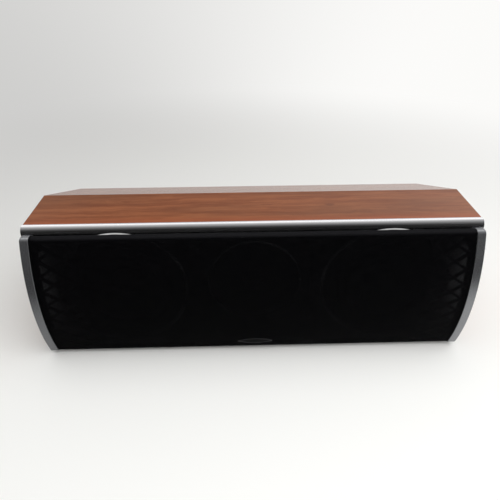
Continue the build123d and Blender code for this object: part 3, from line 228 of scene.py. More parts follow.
past_edge = between(tree, slanted, SHEET_EDGE, SHEET_EDGE - SHEET_FADE)
in_front = between(tree, axes["Y"], *FLOOR_FRONT_SPAN)
to_left = calculate(tree, "MULTIPLY", in_front, between(tree, axes["X"], *LEFT_SPAN, 0.0, LEFT_DIM))
mirrored = add_node(tree, "ShaderNodeLightPath").outputs["Is Glossy Ray"]
unlit = calculate(tree, "MULTIPLY", mirrored, mix_values(tree, past_edge, to_left, 1.0))
dim = add_node(tree, "ShaderNodeEmission", {"Strength": ROOM_FRONT}).outputs[0]
seen = mix_shaders(tree, unlit, whole, dim)
tree.links.new(seen, tree.nodes["Material Output"].inputs["Surface"])

sheet = bmesh.new()
bmesh.ops.create_circle(sheet, cap_ends=True, segments=FLOOR_SIDES, radius=FLOOR_RADIUS)
floor = new_piece("floor", sheet, floor_white)


def hang_lamp(name, place, target, size, brightness):
    """Soft lamp whose face has that brightness, where lit white paper has 1. The room stands in for it
    in reflections, which have no hard edge then."""
    data = bpy.data.lights.new(name, "AREA")
    data.shape = "RECTANGLE"
    data.size, data.size_y = size
    data.energy = brightness * math.pi * size[0] * size[1]
    lamp = bpy.data.objects.new(name, data)
    lamp.location = place
    lamp.rotation_euler = (Vector(target) - Vector(place)).to_track_quat("-Z", "Y").to_euler()
    lamp.visible_glossy = False
    bpy.context.scene.collection.objects.link(lamp)


hang_lamp("panel", PANEL_PLACE, PANEL_TARGET, PANEL_SIZE, PANEL_LIGHT)
hang_lamp("side_lamp", SIDE_PLACE, SIDE_TARGET, SIDE_SIZE, SIDE_LIGHT)


# Cabinet. Fibreboard folded round and wrapped in one sheet of cherry-printed vinyl with a satin
# face. The figure runs along the top and down both ends, as the sheet turns the corners.
CHERRY_DARK = (110, 53, 21)
CHERRY_MIDDLE = (131, 72, 37)
CHERRY_LIGHT = (147, 85, 48)
CHERRY_GREY = (112, 71, 44)
CHERRY_RED = (151, 75, 38)
PORE_BROWN = (78, 40, 22)
wrap_low, wrap_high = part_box("cabinet_wrap")
FRONT_EDGE = wrap_low[1]
FRONT_STRIP = 0.016
END_TURN = 0.6
KNOT_PLACE = (0.088, -0.048, wrap_high[2])
KNOT_SIZE = (0.008, 0.007, 0.05)
KNOT_SWING = 0.0045
CATHEDRAL_PLACE = (-0.136, -0.034, wrap_high[2])
CATHEDRAL_SIZE = (0.060, 0.012, 0.05)
CATHEDRAL_SWING = 0.007
GRAIN_SWING = 0.016
WANDER_STRETCH = (9.0, 16.0, 16.0)
BAND_STRETCH = (9.0, 130.0, 130.0)
CLOUD_STRETCH = (4.0, 18.0, 18.0)
FIBRE_STRETCH = (32.0, 380.0, 380.0)
PORE_STRETCH = (26.0, 1500.0, 1500.0)
BAND_SPAN = (0.33, 0.67)
FIBRE_SPAN = (0.34, 0.68)
CLOUD_SPAN = (0.42, 0.70)
PORE_SPAN = (0.56, 0.74)
FIBRE_SHARE = 0.45
CLOUD_SHARE = 0.4
RED_SHARE = 0.6
PORE_SHARE = 0.3
KNOT_SHARE = 0.35
GLOSS_SPAN = (0.2, 0.8)
VINYL_ROUGHNESS = (0.19, 0.26)
FIBRE_DEPTH = 0.00001


def paint(red, green, blue):
    """A colour as it looks on a screen, from 0 to 255, in the linear values that shaders use."""
    parts = []
    for part in (red, green, blue):
        share = part / 255
        parts.append(share / 12.92 if share < 0.04045 else ((share + 0.055) / 1.055) ** 2.4)
    return (*parts, 1.0)


def facing(tree):
    """Sockets for the parts of the direction that a surface faces."""
    return split(tree, add_node(tree, "ShaderNodeNewGeometry").outputs["Normal"])


def stretched(tree, spot, scale, shift=(0.0, 0.0, 0.0)):
    settings = {"Vector": spot, "Scale": scale, "Location": shift}
    return add_node(tree, "ShaderNodeMapping", settings).outputs[0]


def noise(tree, spot, scale=1.0, detail=2.0, roughness=0.5):
    settings = {"Vector": spot, "Scale": scale, "Detail": detail, "Roughness": roughness}
    return add_node(tree, "ShaderNodeTexNoise", settings).outputs[0]


def mix_colours(tree, factor, first, second):
    settings = {0: factor, 6: first, 7: second}
    return add_node(tree, "ShaderNodeMix", settings, data_type="RGBA").outputs[2]


def lay_colours(tree, shader, mask, first, second):
    """Base colour that goes from one screen colour to another with a mask."""
    colour = mix_colours(tree, mask, paint(*first), paint(*second))
    tree.links.new(colour, shader.inputs["Base Color"])


def lay_over(tree, shader, mask, colour):
    """One more screen colour over the base colour, as strong as a mask says."""
    below = shader.inputs["Base Color"].links[0].from_socket
    tree.links.new(mix_colours(tree, mask, below, paint(*colour)), shader.inputs["Base Color"])


def roughen(tree, shader, pattern, span, limits):
    """Roughness that follows a pattern between two limits."""
    tree.links.new(between(tree, pattern, *span, *limits), shader.inputs["Roughness"])


def raise_grain(tree, shader, height, depth):
    """Fine relief of that depth in metres."""
    bump = add_node(tree, "ShaderNodeBump", {"Height": height, "Distance": depth, "Strength": 1.0})
    tree.links.new(bump.outputs[0], shader.inputs["Normal"])


def dress(material, *names):
    """Gives CAD pieces their finish."""
    for name in names:
        for slot in nodes[name].material_slots:
            slot.material = material


def near_figure(tree, spot, place, size):
    """Mask that is 1 at a figure in the printed wood and fades out at its edge."""
    shift = tuple(-at / reach for at, reach in zip(place, size))
    scale = tuple(1 / reach for reach in size)
    return between(tree, length_of(tree, stretched(tree, spot, scale, shift)), 1.0, 0.0)


cherry_vinyl, tree, shader = start_material("cherry_vinyl")
spot = place_on_piece(tree)
axes = split(tree, spot)
sideways = calculate(tree, "ABSOLUTE", facing(tree)["X"])
on_end = calculate(tree, "GREATER_THAN", sideways, END_TURN)
turned = add_node(tree, "ShaderNodeCombineXYZ", {0: axes["Z"], 1: axes["Y"], 2: axes["X"]}).outputs[0]
chosen = {0: on_end, 4: spot, 5: turned}
along = add_node(tree, "ShaderNodeMix", chosen, data_type="VECTOR").outputs[1]
wander = noise(tree, stretched(tree, along, WANDER_STRETCH), detail=3.0, roughness=0.6)
knot = near_figure(tree, spot, KNOT_PLACE, KNOT_SIZE)
arch = near_figure(tree, spot, CATHEDRAL_PLACE, CATHEDRAL_SIZE)
swing = calculate(tree, "MULTIPLY", calculate(tree, "SUBTRACT", wander, 0.5), GRAIN_SWING)
for figure, reach in ((knot, KNOT_SWING), (arch, CATHEDRAL_SWING)):
    swing = calculate(tree, "ADD", swing, calculate(tree, "MULTIPLY", figure, reach))
shift = add_node(tree, "ShaderNodeCombineXYZ", {1: swing, 2: swing}).outputs[0]
grain = add_node(tree, "ShaderNodeVectorMath", {0: along, 1: shift}, operation="ADD").outputs[0]
bands = noise(tree, stretched(tree, grain, BAND_STRETCH), detail=5.0, roughness=0.68)
clouds = noise(tree, stretched(tree, grain, CLOUD_STRETCH))
fibres = noise(tree, stretched(tree, grain, FIBRE_STRETCH), detail=4.0, roughness=0.62)
pores = noise(tree, stretched(tree, grain, PORE_STRETCH), detail=1.0)
forward = between(tree, axes["Y"], FRONT_EDGE + FRONT_STRIP, FRONT_EDGE, 0.0, RED_SHARE)
lay_colours(tree, shader, between(tree, bands, *BAND_SPAN), CHERRY_DARK, CHERRY_LIGHT)
lay_over(tree, shader, between(tree, fibres, *FIBRE_SPAN, 0.0, FIBRE_SHARE), CHERRY_MIDDLE)
lay_over(tree, shader, between(tree, clouds, *CLOUD_SPAN, 0.0, CLOUD_SHARE), CHERRY_GREY)
lay_over(tree, shader, forward, CHERRY_RED)
lay_over(tree, shader, between(tree, pores, *PORE_SPAN, 0.0, PORE_SHARE), PORE_BROWN)
lay_over(tree, shader, calculate(tree, "MULTIPLY", knot, KNOT_SHARE), PORE_BROWN)
roughen(tree, shader, fibres, GLOSS_SPAN, VINYL_ROUGHNESS)
raise_grain(tree, shader, fibres, FIBRE_DEPTH)
dress(cherry_vinyl, "cabinet_wrap")


# Baffle board and braces. Medium-density fibreboard sawn to shape and glued inside the wrap, with
# a felted brown face.
BOARD_BROWN = (150, 116, 82)
BOARD_DARK = (122, 92, 62)
FLECK_SCALE = 900.0
FLECK_DEPTH = 0.0002
CLOSE_SPAN = (0.35, 0.65)

board, tree, shader = start_material("board", roughness=0.85)
flecks = noise(tree, place_on_piece(tree), FLECK_SCALE, detail=4.0, roughness=0.7)
lay_colours(tree, shader, between(tree, flecks, *CLOSE_SPAN), BOARD_DARK, BOARD_BROWN)
raise_grain(tree, shader, flecks, FLECK_DEPTH)
dress(board, "baffle_board", "cabinet_braces")


# Damping pads. Lofted polyester wadding, one pad stuck to the inside of each end wall to soak up
# the sound behind the drivers.
FIBRE_WHITE = (222, 220, 212)
FIBRE_SHADE = (188, 186, 178)
FIBRE_SHEEN = 0.3
TUFT_SCALE = 220.0
TUFT_DEPTH = 0.0015
WIDE_SPAN = (0.3, 0.7)

fibre, tree, shader = start_material("fibre", roughness=0.95)
tufts = noise(tree, place_on_piece(tree), TUFT_SCALE, detail=6.0, roughness=0.75)
lay_colours(tree, shader, between(tree, tufts, *WIDE_SPAN), FIBRE_SHADE, FIBRE_WHITE)
shader.inputs["Sheen Weight"].default_value = FIBRE_SHEEN
raise_grain(tree, shader, tufts, TUFT_DEPTH)
dress(fibre, "damping_pads")


# Back panel. Fibreboard faced in black vinyl with a leather grain, let in between the wrap's edges.
# It carries the port and the terminal cup.
BACK_BLACK = (26, 25, 25)
BACK_GREY = (40, 39, 38)
SKIN_DRIFT_SCALE = 14.0
SKIN_SWING = 0.05
DRIFT_SPAN = (0.25, 0.75)
SKIN_OUTPUTS = ("Shade", "Roughness", "Height")


def start_group(name, inputs, outputs):
    """Shader node group. It takes a vector and the given numbers, and puts out numbers."""
    group = bpy.data.node_groups.new(name, "ShaderNodeTree")
    group.interface.new_socket("Vector", in_out="INPUT", socket_type="NodeSocketVector")
    for label, value in inputs.items():
        socket = group.interface.new_socket(label, in_out="INPUT", socket_type="NodeSocketFloat")
        socket.default_value = value
    for label in outputs:
        group.interface.new_socket(label, in_out="OUTPUT", socket_type="NodeSocketFloat")
    return group, group.nodes.new("NodeGroupInput").outputs, group.nodes.new("NodeGroupOutput").inputs


def put_out_skin(group, given, result, pattern, height, swing):
    """Links a skin's outputs: shade and roughness that follow a pattern, and the relief."""
    change = between(group, pattern, *DRIFT_SPAN, -swing, swing)
    group.links.new(between(group, pattern, *WIDE_SPAN), result["Shade"])
    group.links.new(calculate(group, "ADD", given["Roughness"], change), result["Roughness"])
    group.links.new(height, result["Height"])


def moulded_skin_group():
    """Grain of a moulded or embossed skin, with slow drifts of shade and gloss."""
    group, given, result = start_group("moulded_skin", {"Grain": 800.0, "Roughness": 0.5}, SKIN_OUTPUTS)
    cells = {"Vector": given["Vector"], "Scale": given["Grain"]}
    pits = add_node(group, "ShaderNodeTexVoronoi", cells, feature="SMOOTH_F1").outputs["Distance"]
    drift = noise(group, given["Vector"], SKIN_DRIFT_SCALE, detail=3.0)
    put_out_skin(group, given, result, drift, pits, SKIN_SWING)
    return group


def wear_skin(tree, shader, group, settings, colours, depth):
    """Finish of a material from a group that puts out a skin."""
    skin = add_node(tree, "ShaderNodeGroup", settings, node_tree=group).outputs
    lay_colours(tree, shader, skin["Shade"], *colours)
    tree.links.new(skin["Roughness"], shader.inputs["Roughness"])
    raise_grain(tree, shader, skin["Height"], depth)


MOULDED_SKIN = moulded_skin_group()


def moulded(name, dark, light, roughness, grain, depth):
    """Moulded plastic or rubber: two close shades, a fine grain and a gloss that drifts."""
    material, tree, shader = start_material(name)
    settings = {"Vector": place_on_piece(tree), "Grain": grain, "Roughness": roughness}
    wear_skin(tree, shader, MOULDED_SKIN, settings, (dark, light), depth)
    return material


back_vinyl = moulded("back_vinyl", BACK_BLACK, BACK_GREY, roughness=0.55, grain=520.0, depth=0.00025)
dress(back_vinyl, "back_panel")


# Feet and peg sockets. Soft black rubber with a fine moulded grain. The feet are glued under the
# cabinet's corners, and the sockets are pressed into holes in the fascia.
RUBBER_BLACK = (18, 18, 19)
RUBBER_GREY = (30, 30, 31)

rubber = moulded("rubber", RUBBER_BLACK, RUBBER_GREY, roughness=0.68, grain=1500.0, depth=0.00005)
dress(rubber, "rubber_feet", "peg_sockets")


# Fascia, port and terminal cup. Injection-moulded black plastic with a fine satin texture, screwed
# to the board and the back. The fascia's ends carry silver paint like the bars before them, with
# painted shade that darkens it inward from the ends and towards the bottom.
FASCIA_BLACK = (15, 15, 16)
FASCIA_GREY = (24, 24, 25)
CHEEK_SILVER = (200, 201, 204)
CHEEK_SPAN = (0.210, 0.246)
CHEEK_SHADE_RISE = (0.02, 0.12)
CHEEK_SHADE_LOW = 0.3
FRONT_TURN = -0.5

fascia_colours = (FASCIA_BLACK, FASCIA_GREY)
fascia_black = moulded("fascia_black", *fascia_colours, roughness=0.42, grain=1100.0, depth=0.00005)
tree = fascia_black.node_tree
axes = split(tree, place_on_piece(tree))
# Painted shade: the silver fades out inward from the ends and drops to 0.3 of its strength low down.
at_end = between(tree, calculate(tree, "ABSOLUTE", axes["X"]), *CHEEK_SPAN)
cheek_paint_with_painted_shade = calculate(tree, "MULTIPLY", at_end, between(tree, axes["Z"], *CHEEK_SHADE_RISE, CHEEK_SHADE_LOW, 1.0))
ahead = calculate(tree, "LESS_THAN", facing(tree)["Y"], FRONT_TURN)
front_cheek_paint_with_painted_shade = calculate(tree, "MULTIPLY", cheek_paint_with_painted_shade, ahead)
lay_over(tree, tree.nodes["Principled BSDF"], front_cheek_paint_with_painted_shade, CHEEK_SILVER)
dress(fascia_black, "front_fascia", "port_tube", "terminal_cup", "tweeter_faceplate")


# Top trim. Extruded aluminium bullnose, satin anodised, clipped over the top edge of the fascia,
# with the faint lines of the die along it.
TRIM_SILVER = (214, 214, 216)
TRIM_SHADE = (190, 190, 193)
TRIM_ROUGHNESS = 0.22
TRIM_STRETCH = (6.0, 2200.0, 2200.0)
TRIM_DEPTH = 0.0000004
METAL_DEPTH = 0.000004
METAL_SWING = 0.06


def brushed_lines_group():
    """Fine streaks of a drawn or turned metal face. The vector comes already stretched."""
    group, given, result = start_group("brushed_lines", {"Roughness": 0.3}, SKIN_OUTPUTS)
    streaks = noise(group, given["Vector"], detail=3.0, roughness=0.6)
    put_out_skin(group, given, result, streaks, streaks, METAL_SWING)
    return group


BRUSHED_LINES = brushed_lines_group()


def brushed(name, dark, light, roughness, stretch, depth=METAL_DEPTH):
    """Metal with streaks along the axis of the smallest stretch."""
    material, tree, shader = start_material(name, metallic=1.0)
    settings = {"Vector": stretched(tree, place_on_piece(tree), stretch), "Roughness": roughness}
    wear_skin(tree, shader, BRUSHED_LINES, settings, (dark, light), depth)
    return material


trim_silver = brushed("trim_silver", TRIM_SHADE, TRIM_SILVER, TRIM_ROUGHNESS, TRIM_STRETCH, TRIM_DEPTH)
dress(trim_silver, "top_trim")


# Woofer baskets and motors. Black-coated steel baskets, plated plates and yokes, sintered ferrite
# rings and copper coils on paper formers, glued and riveted together behind the fascia.
BASKET_BLACK = (19, 19, 20)
BASKET_GREY = (32, 32, 33)
STEEL_GREY = (150, 152, 154)
STEEL_BRIGHT = (186, 188, 190)
STEEL_ROUGHNESS = 0.32
STEEL_STRETCH = (300.0, 300.0, 300.0)
FERRITE_DARK = (42, 42, 44)
FERRITE_GREY = (62, 61, 62)
COPPER_DARK = (150, 78, 44)
COPPER_LIGHT = (206, 124, 78)
COPPER_ROUGHNESS = 0.35
COPPER_STRETCH = (30.0, 1800.0, 30.0)
COPPER_DEPTH = 0.00004

basket_colours = (BASKET_BLACK, BASKET_GREY)
basket_black = moulded("basket_black", *basket_colours, roughness=0.45, grain=1300.0, depth=0.00004)
steel = brushed("steel", STEEL_GREY, STEEL_BRIGHT, STEEL_ROUGHNESS, STEEL_STRETCH)
ferrite = moulded("ferrite", FERRITE_DARK, FERRITE_GREY, roughness=0.62, grain=700.0, depth=0.00006)
copper = brushed("copper", COPPER_DARK, COPPER_LIGHT, COPPER_ROUGHNESS, COPPER_STRETCH, COPPER_DEPTH)
for side in ("left", "right"):
    dress(basket_black, f"{side}_woofer_basket")
    dress(steel, f"{side}_woofer_top_plate", f"{side}_woofer_pole_yoke")
    dress(ferrite, f"{side}_woofer_magnet")
    dress(copper, f"{side}_woofer_voice_coil")


# Woofer cones and dust caps. Mineral-filled polymer pressed to shape, dark grey and satin, with
# fine concentric ribs from the mould. The spider behind is a phenolic cloth.
CONE_DARK = (30, 31, 33)
CONE_LIGHT = (46, 47, 50)
CONE_ROUGHNESS = (0.40, 0.52)
SPECK_SCALE = 420.0
RIB_PITCH = 0.0016
RIB_DEPTH = 0.00008
SPIDER_TAN = (186, 150, 84)
SPIDER_BROWN = (150, 112, 58)
SPIDER_SCALE = 1500.0
SPIDER_DEPTH = 0.0002


def middle(name):
    """Middle of a CAD piece at rest."""
    low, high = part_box(name)
    return (Vector(low) + Vector(high)) / 2


def wave(tree, distance, pitch):
    turns = calculate(tree, "DIVIDE", distance, pitch)
    return calculate(tree, "SINE", calculate(tree, "MULTIPLY", turns, 2 * math.pi))


def from_axis(tree, spot, axis):
    """Distance from the axis of either woofer, which faces forward."""
    axes = split(tree, spot)
    aside = calculate(tree, "SUBTRACT", calculate(tree, "ABSOLUTE", axes["X"]), axis.x)
    above = calculate(tree, "SUBTRACT", axes["Z"], axis.z)
    return length_of(tree, add_node(tree, "ShaderNodeCombineXYZ", {0: aside, 2: above}).outputs[0])


cone_grey, tree, shader = start_material("cone_grey")
spot = place_on_piece(tree)
specks = noise(tree, spot, SPECK_SCALE, detail=4.0, roughness=0.7)
lay_colours(tree, shader, between(tree, specks, *CLOSE_SPAN), CONE_DARK, CONE_LIGHT)
roughen(tree, shader, specks, WIDE_SPAN, CONE_ROUGHNESS)
ribs = wave(tree, from_axis(tree, spot, middle("right_woofer_trim_ring")), RIB_PITCH)
raise_grain(tree, shader, ribs, RIB_DEPTH)

spider_cloth, tree, shader = start_material("spider_cloth", roughness=0.85)
weave = noise(tree, place_on_piece(tree), SPIDER_SCALE)
lay_colours(tree, shader, between(tree, weave, *CLOSE_SPAN), SPIDER_BROWN, SPIDER_TAN)
raise_grain(tree, shader, weave, SPIDER_DEPTH)
for side in ("left", "right"):
    dress(cone_grey, f"{side}_woofer_cone", f"{side}_woofer_dust_cap")
    dress(spider_cloth, f"{side}_woofer_spider")


# Woofer surrounds. A half-roll of butyl rubber, glued to the basket outside and to the cone inside,
# which rolls as the cone travels. Each is made in sectors.
ROLL_RADIUS = 0.005
SURROUND_LIP = 0.004
SURROUND_THICKNESS = 0.0008
SURROUND_SECTORS = 12
SECTOR_STEPS = 8
ROLL_STEPS = 14
ROLL_SHARP_ANGLE = 40.0


def half_roll(center, base, reach):
    """Half a circle that stands forward, from its foot outside to its foot inside."""
    angles = [math.pi * step / ROLL_STEPS for step in range(ROLL_STEPS + 1)]
    return [(center + reach * math.cos(angle), base + reach * math.sin(angle)) for angle in angles]


def surround_outline(outer):
    """Distances from the axis and forward heights round the section of the roll and its lips."""
    center = outer - SURROUND_LIP - ROLL_RADIUS
    rim = center - ROLL_RADIUS - SURROUND_LIP
    thick = SURROUND_THICKNESS
    hollow = ROLL_RADIUS - thick / 2
    points = [(outer, 0.0), (outer, thick)]
    points += half_roll(center, thick, ROLL_RADIUS + thick / 2)
    points += [(rim, thick), (rim, 0.0), (center - hollow, 0.0)]
    points += half_roll(center, thick, hollow)[::-1]
    points.append((center + hollow, 0.0))
    return points


def bridge(shape, first, second):
    """Band of faces between two closed loops of as many points."""
    count = len(first)
    for index in range(count):
        after = (index + 1) % count
        shape.faces.new((first[index], first[after], second[after], second[index]))


def surround_sector(name, axis, front, outline, start, sweep, finish):
    """One closed sector of the roll about its driver's axis."""
    shape = bmesh.new()
    rows = []
    for step in range(SECTOR_STEPS + 1):
        angle = start + sweep * step / SECTOR_STEPS
        row = []
        for radius, height in outline:
            x = axis.x + radius * math.cos(angle)
            z = axis.z + radius * math.sin(angle)
            row.append(shape.verts.new((x, front - height, z)))
        rows.append(row)
    for first, second in zip(rows, rows[1:]):
        bridge(shape, first, second)
    shape.faces.new(rows[0][::-1])
    shape.faces.new(rows[-1])
    bmesh.ops.recalc_face_normals(shape, faces=shape.faces)
    for face in shape.faces:
        face.smooth = len(face.verts) == 4
    piece = new_piece(name, shape, finish)
    piece.data.set_sharp_from_angle(angle=math.radians(ROLL_SHARP_ANGLE))
    return piece


def hang_surround(node, outline, finish):
    """Sectors of a roll about its driver's axis, which take the place of the CAD piece."""
    axis = middle(node)
    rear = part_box(node)[1][1]
    sweep = 2 * math.pi / SURROUND_SECTORS
    for index in range(SURROUND_SECTORS):
        name = f"{node}_{index + 1:02d}"
        sector = surround_sector(name, axis, rear, outline, index * sweep, sweep, finish)
        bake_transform(sector)
        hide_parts(node)


def outer_radius(name):
    """Largest distance of a round CAD piece from its axis."""
    low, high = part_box(name)
    return (high[0] - low[0]) / 2


for side in ("left", "right"):
    outer = outer_radius(f"{side}_woofer_surround")
    outline = surround_outline(outer)
    hang_surround(f"{side}_woofer_surround", outline, rubber)


# Driver rings. Spun aluminium with a crowned face, polished and lacquered, pressed on round each
# driver's flange. The part of each ring within 1.2 mm of the fascia's face is coloured black.
RING_SILVER = (246, 246, 247)
RING_SHADE = (232, 232, 234)
RING_ROUGHNESS = 0.2
RING_STRETCH = (240.0, 240.0, 240.0)
RING_DEPTH = 0.000002
RING_BLACK = (16, 16, 17)
RING_FOOT = 0.0012
RING_FOOT_FADE = 0.0004

ring_silver = brushed("ring_silver", RING_SHADE, RING_SILVER, RING_ROUGHNESS, RING_STRETCH, RING_DEPTH)
tree = ring_silver.node_tree
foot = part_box("front_fascia")[0][1] - RING_FOOT
depth = split(tree, place_on_piece(tree))["Y"]
at_foot = between(tree, depth, foot - RING_FOOT_FADE, foot + RING_FOOT_FADE)
lay_over(tree, tree.nodes["Principled BSDF"], at_foot, RING_BLACK)
dress(ring_silver, "left_woofer_trim_ring", "right_woofer_trim_ring", "tweeter_trim_ring")


# Tweeter. A silk dome and roll doped dark grey, clamped behind the dished plastic faceplate, over a
# ferrite motor. The roll bends as the dome travels.
DOME_DARK = (27, 27, 29)
DOME_LIGHT = (44, 44, 47)
DOME_ROLL = 0.002
DOME_ROLL_WALL = 0.0004
DOME_LIP = 0.004
DOME_LIP_THICKNESS = 0.0005
SILK_PITCH = 0.0005
SILK_DEPTH = 0.00003
GAP_SPAN = (-0.1, 0.9)


def woven_group():
    """Threads over and under, from a vector in metres: height of the cloth and the gaps in it."""
    group, given, result = start_group("woven", {"Pitch": 0.001}, ("Height", "Gap"))
    axes = split(group, given["Vector"])
    waves = [wave(group, axes[name], given["Pitch"]) for name in ("X", "Y")]
    slack = calculate(group, "MULTIPLY", calculate(group, "ADD", *waves), 0.5)
    group.links.new(calculate(group, "MULTIPLY", *waves), result["Height"])
    group.links.new(between(group, slack, *GAP_SPAN), result["Gap"])
    return group


WOVEN = woven_group()

dome_grey, tree, shader = start_material("dome_grey", roughness=0.48)
axes = split(tree, place_on_piece(tree))
flat = add_node(tree, "ShaderNodeCombineXYZ", {0: axes["X"], 1: axes["Z"]}).outputs[0]
settings = {"Vector": flat, "Pitch": SILK_PITCH}
silk = add_node(tree, "ShaderNodeGroup", settings, node_tree=WOVEN).outputs
lay_colours(tree, shader, silk["Gap"], DOME_LIGHT, DOME_DARK)
raise_grain(tree, shader, silk["Height"], SILK_DEPTH)
dress(dome_grey, "tweeter_dome")


def dome_roll_outline(outer):
    """Distances from the axis and forward heights round the section of the small roll and its lip."""
    center = outer - DOME_LIP - DOME_ROLL
    hollow = DOME_ROLL - DOME_ROLL_WALL
    points = [(outer, 0.0), (outer, DOME_LIP_THICKNESS)]
    points += half_roll(center, DOME_LIP_THICKNESS, DOME_ROLL)
    points += half_roll(center, DOME_LIP_THICKNESS, hollow)[::-1]
    points.append((center + hollow, 0.0))
    return points


outer = outer_radius("tweeter_surround")
outline = dome_roll_outline(outer)
hang_surround("tweeter_surround", outline, dome_grey)
dress(steel, "tweeter_top_plate", "tweeter_pole_yoke")
dress(ferrite, "tweeter_magnet")
dress(copper, "tweeter_voice_coil")


# Crossover. An etched board behind the terminal cup with air-core copper coils, film capacitors in
# blue sleeves and cement resistors, wired to the drivers with twin black leads.
MASK_GREEN = (24, 88, 52)
MASK_LIGHT = (46, 120, 74)
TRACK_STRETCH = (90.0, 1.0, 130.0)
TRACK_SPAN = (0.10, 0.14)
SLEEVE_BLUE = (30, 62, 132)
SLEEVE_LIGHT = (44, 82, 160)
CEMENT_WHITE = (214, 210, 200)
CEMENT_SHADE = (192, 188, 178)
LEAD_BLACK = (20, 20, 21)
LEAD_GREY = (33, 33, 34)

circuit_green, tree, shader = start_material("circuit_green", roughness=0.35)
cells = {"Vector": stretched(tree, place_on_piece(tree), TRACK_STRETCH), "Scale": 1.0}
tracks = add_node(tree, "ShaderNodeTexVoronoi", cells, feature="DISTANCE_TO_EDGE").outputs[0]
lay_colours(tree, shader, between(tree, tracks, *TRACK_SPAN), MASK_GREEN, MASK_LIGHT)
dress(circuit_green, "crossover_board")
cap_blue = moulded("cap_blue", SLEEVE_BLUE, SLEEVE_LIGHT, roughness=0.38, grain=900.0, depth=0.00002)
cement = moulded("resistor_white", CEMENT_SHADE, CEMENT_WHITE, roughness=0.8, grain=1400.0, depth=0.0001)
lead_black = moulded("lead_black", LEAD_BLACK, LEAD_GREY, roughness=0.5, grain=1200.0, depth=0.00003)
dress(copper, "crossover_coils")
dress(cap_blue, "crossover_capacitors")
dress(cement, "crossover_resistors")
dress(lead_black, "driver_leads")


# Binding posts. Brass studs and washers, turned and gold plated, under fluted thumb caps moulded in
# glossy red or black plastic, with steel nuts inside.
GOLD_DARK = (196, 150, 70)
GOLD_LIGHT = (232, 190, 104)
GOLD_ROUGHNESS = 0.24
GOLD_STRETCH = (260.0, 1600.0, 260.0)
POST_RED_DARK = (132, 12, 14)
POST_RED = (172, 22, 22)
POST_BLACK = (16, 16, 17)
POST_GREY = (26, 26, 27)

gold = brushed("gold", GOLD_DARK, GOLD_LIGHT, GOLD_ROUGHNESS, GOLD_STRETCH)
for name, dark, light in (("red", POST_RED_DARK, POST_RED), ("black", POST_BLACK, POST_GREY)):
    cap = moulded(f"post_{name}", dark, light, roughness=0.3, grain=1500.0, depth=0.00001)
    dress(gold, f"{name}_post", f"{name}_post_washer")
    dress(cap, f"{name}_post_cap")
dress(steel, "post_nuts")


# Screws. Countersunk black-oxide steel with a cross recess, four round each driver and four in the
# flange of the terminal cup.
SCREW_HEAD_RADIUS = 0.0032
SCREW_HEAD_HEIGHT = 0.0015
SCREW_SHANK_RADIUS = 0.0017
SCREW_LENGTH = 0.016
SCREW_SIDES = 32
RECESS_REACH = 0.0019
RECESS_HALF_WIDTH = 0.00048
RECESS_DEPTH = 0.0011
RECESS_TAPER = 0.72
WOOFER_SCREW_EDGE = 0.006
TWEETER_SCREW_EDGE = 0.003
CUP_SCREW_EDGE = 0.0045
SCREW_BLACK = (24, 24, 26)
SCREW_GREY = (44, 44, 47)
SCREW_ROUGHNESS = 0.38
SCREW_STRETCH = (900.0, 900.0, 900.0)


def recess_corners():
    """Corners of a cross with four equal arms."""
    arm = (
        (RECESS_HALF_WIDTH, RECESS_HALF_WIDTH),
        (RECESS_HALF_WIDTH, RECESS_REACH),
        (-RECESS_HALF_WIDTH, RECESS_REACH),
    )
    turns = [Matrix.Rotation(quarter * math.pi / 2, 2) for quarter in range(4)]
    return [turn @ Vector(corner) for turn in turns for corner in arm]


def screw_mesh():
    """One screw along +Z with its flat head at the origin."""
    shape = bmesh.new()
    rings = []
    sizes = (
        (SCREW_HEAD_RADIUS, 0.0),
        (SCREW_SHANK_RADIUS, -SCREW_HEAD_HEIGHT),
        (SCREW_SHANK_RADIUS, -SCREW_LENGTH),
    )
    for radius, height in sizes:
        ring = []
        for index in range(SCREW_SIDES):
            angle = 2 * math.pi * index / SCREW_SIDES
            ring.append(shape.verts.new((radius * math.cos(angle), radius * math.sin(angle), height)))
        rings.append(ring)
    for upper, lower in zip(rings, rings[1:]):
        bridge(shape, upper, lower)
    shape.faces.new(rings[-1])
    top = [shape.verts.new((*corner, 0.0)) for corner in recess_corners()]
    bottom = [shape.verts.new((*corner * RECESS_TAPER, -RECESS_DEPTH)) for corner in recess_corners()]
    bridge(shape, top, bottom)
    shape.faces.new(bottom)
    rim = []
    for loop in (rings[0], top):
        for first, second in zip(loop, loop[1:] + loop[:1]):
            rim.append(shape.edges.get((first, second)))
    bmesh.ops.triangle_fill(shape, edges=rim, use_beauty=True)
    bmesh.ops.recalc_face_normals(shape, faces=shape.faces)
    return shape


def ring_of_screws(name, edge):
    """Places of four screws inside the rim of a round flange, on its diagonals."""
    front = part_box(name)[0][1]
    at = middle(name)
    reach = (outer_radius(name) - edge) * math.sqrt(0.5)
    return [(at.x + x * reach, front, at.z + z * reach) for x in (-1, 1) for z in (-1, 1)]


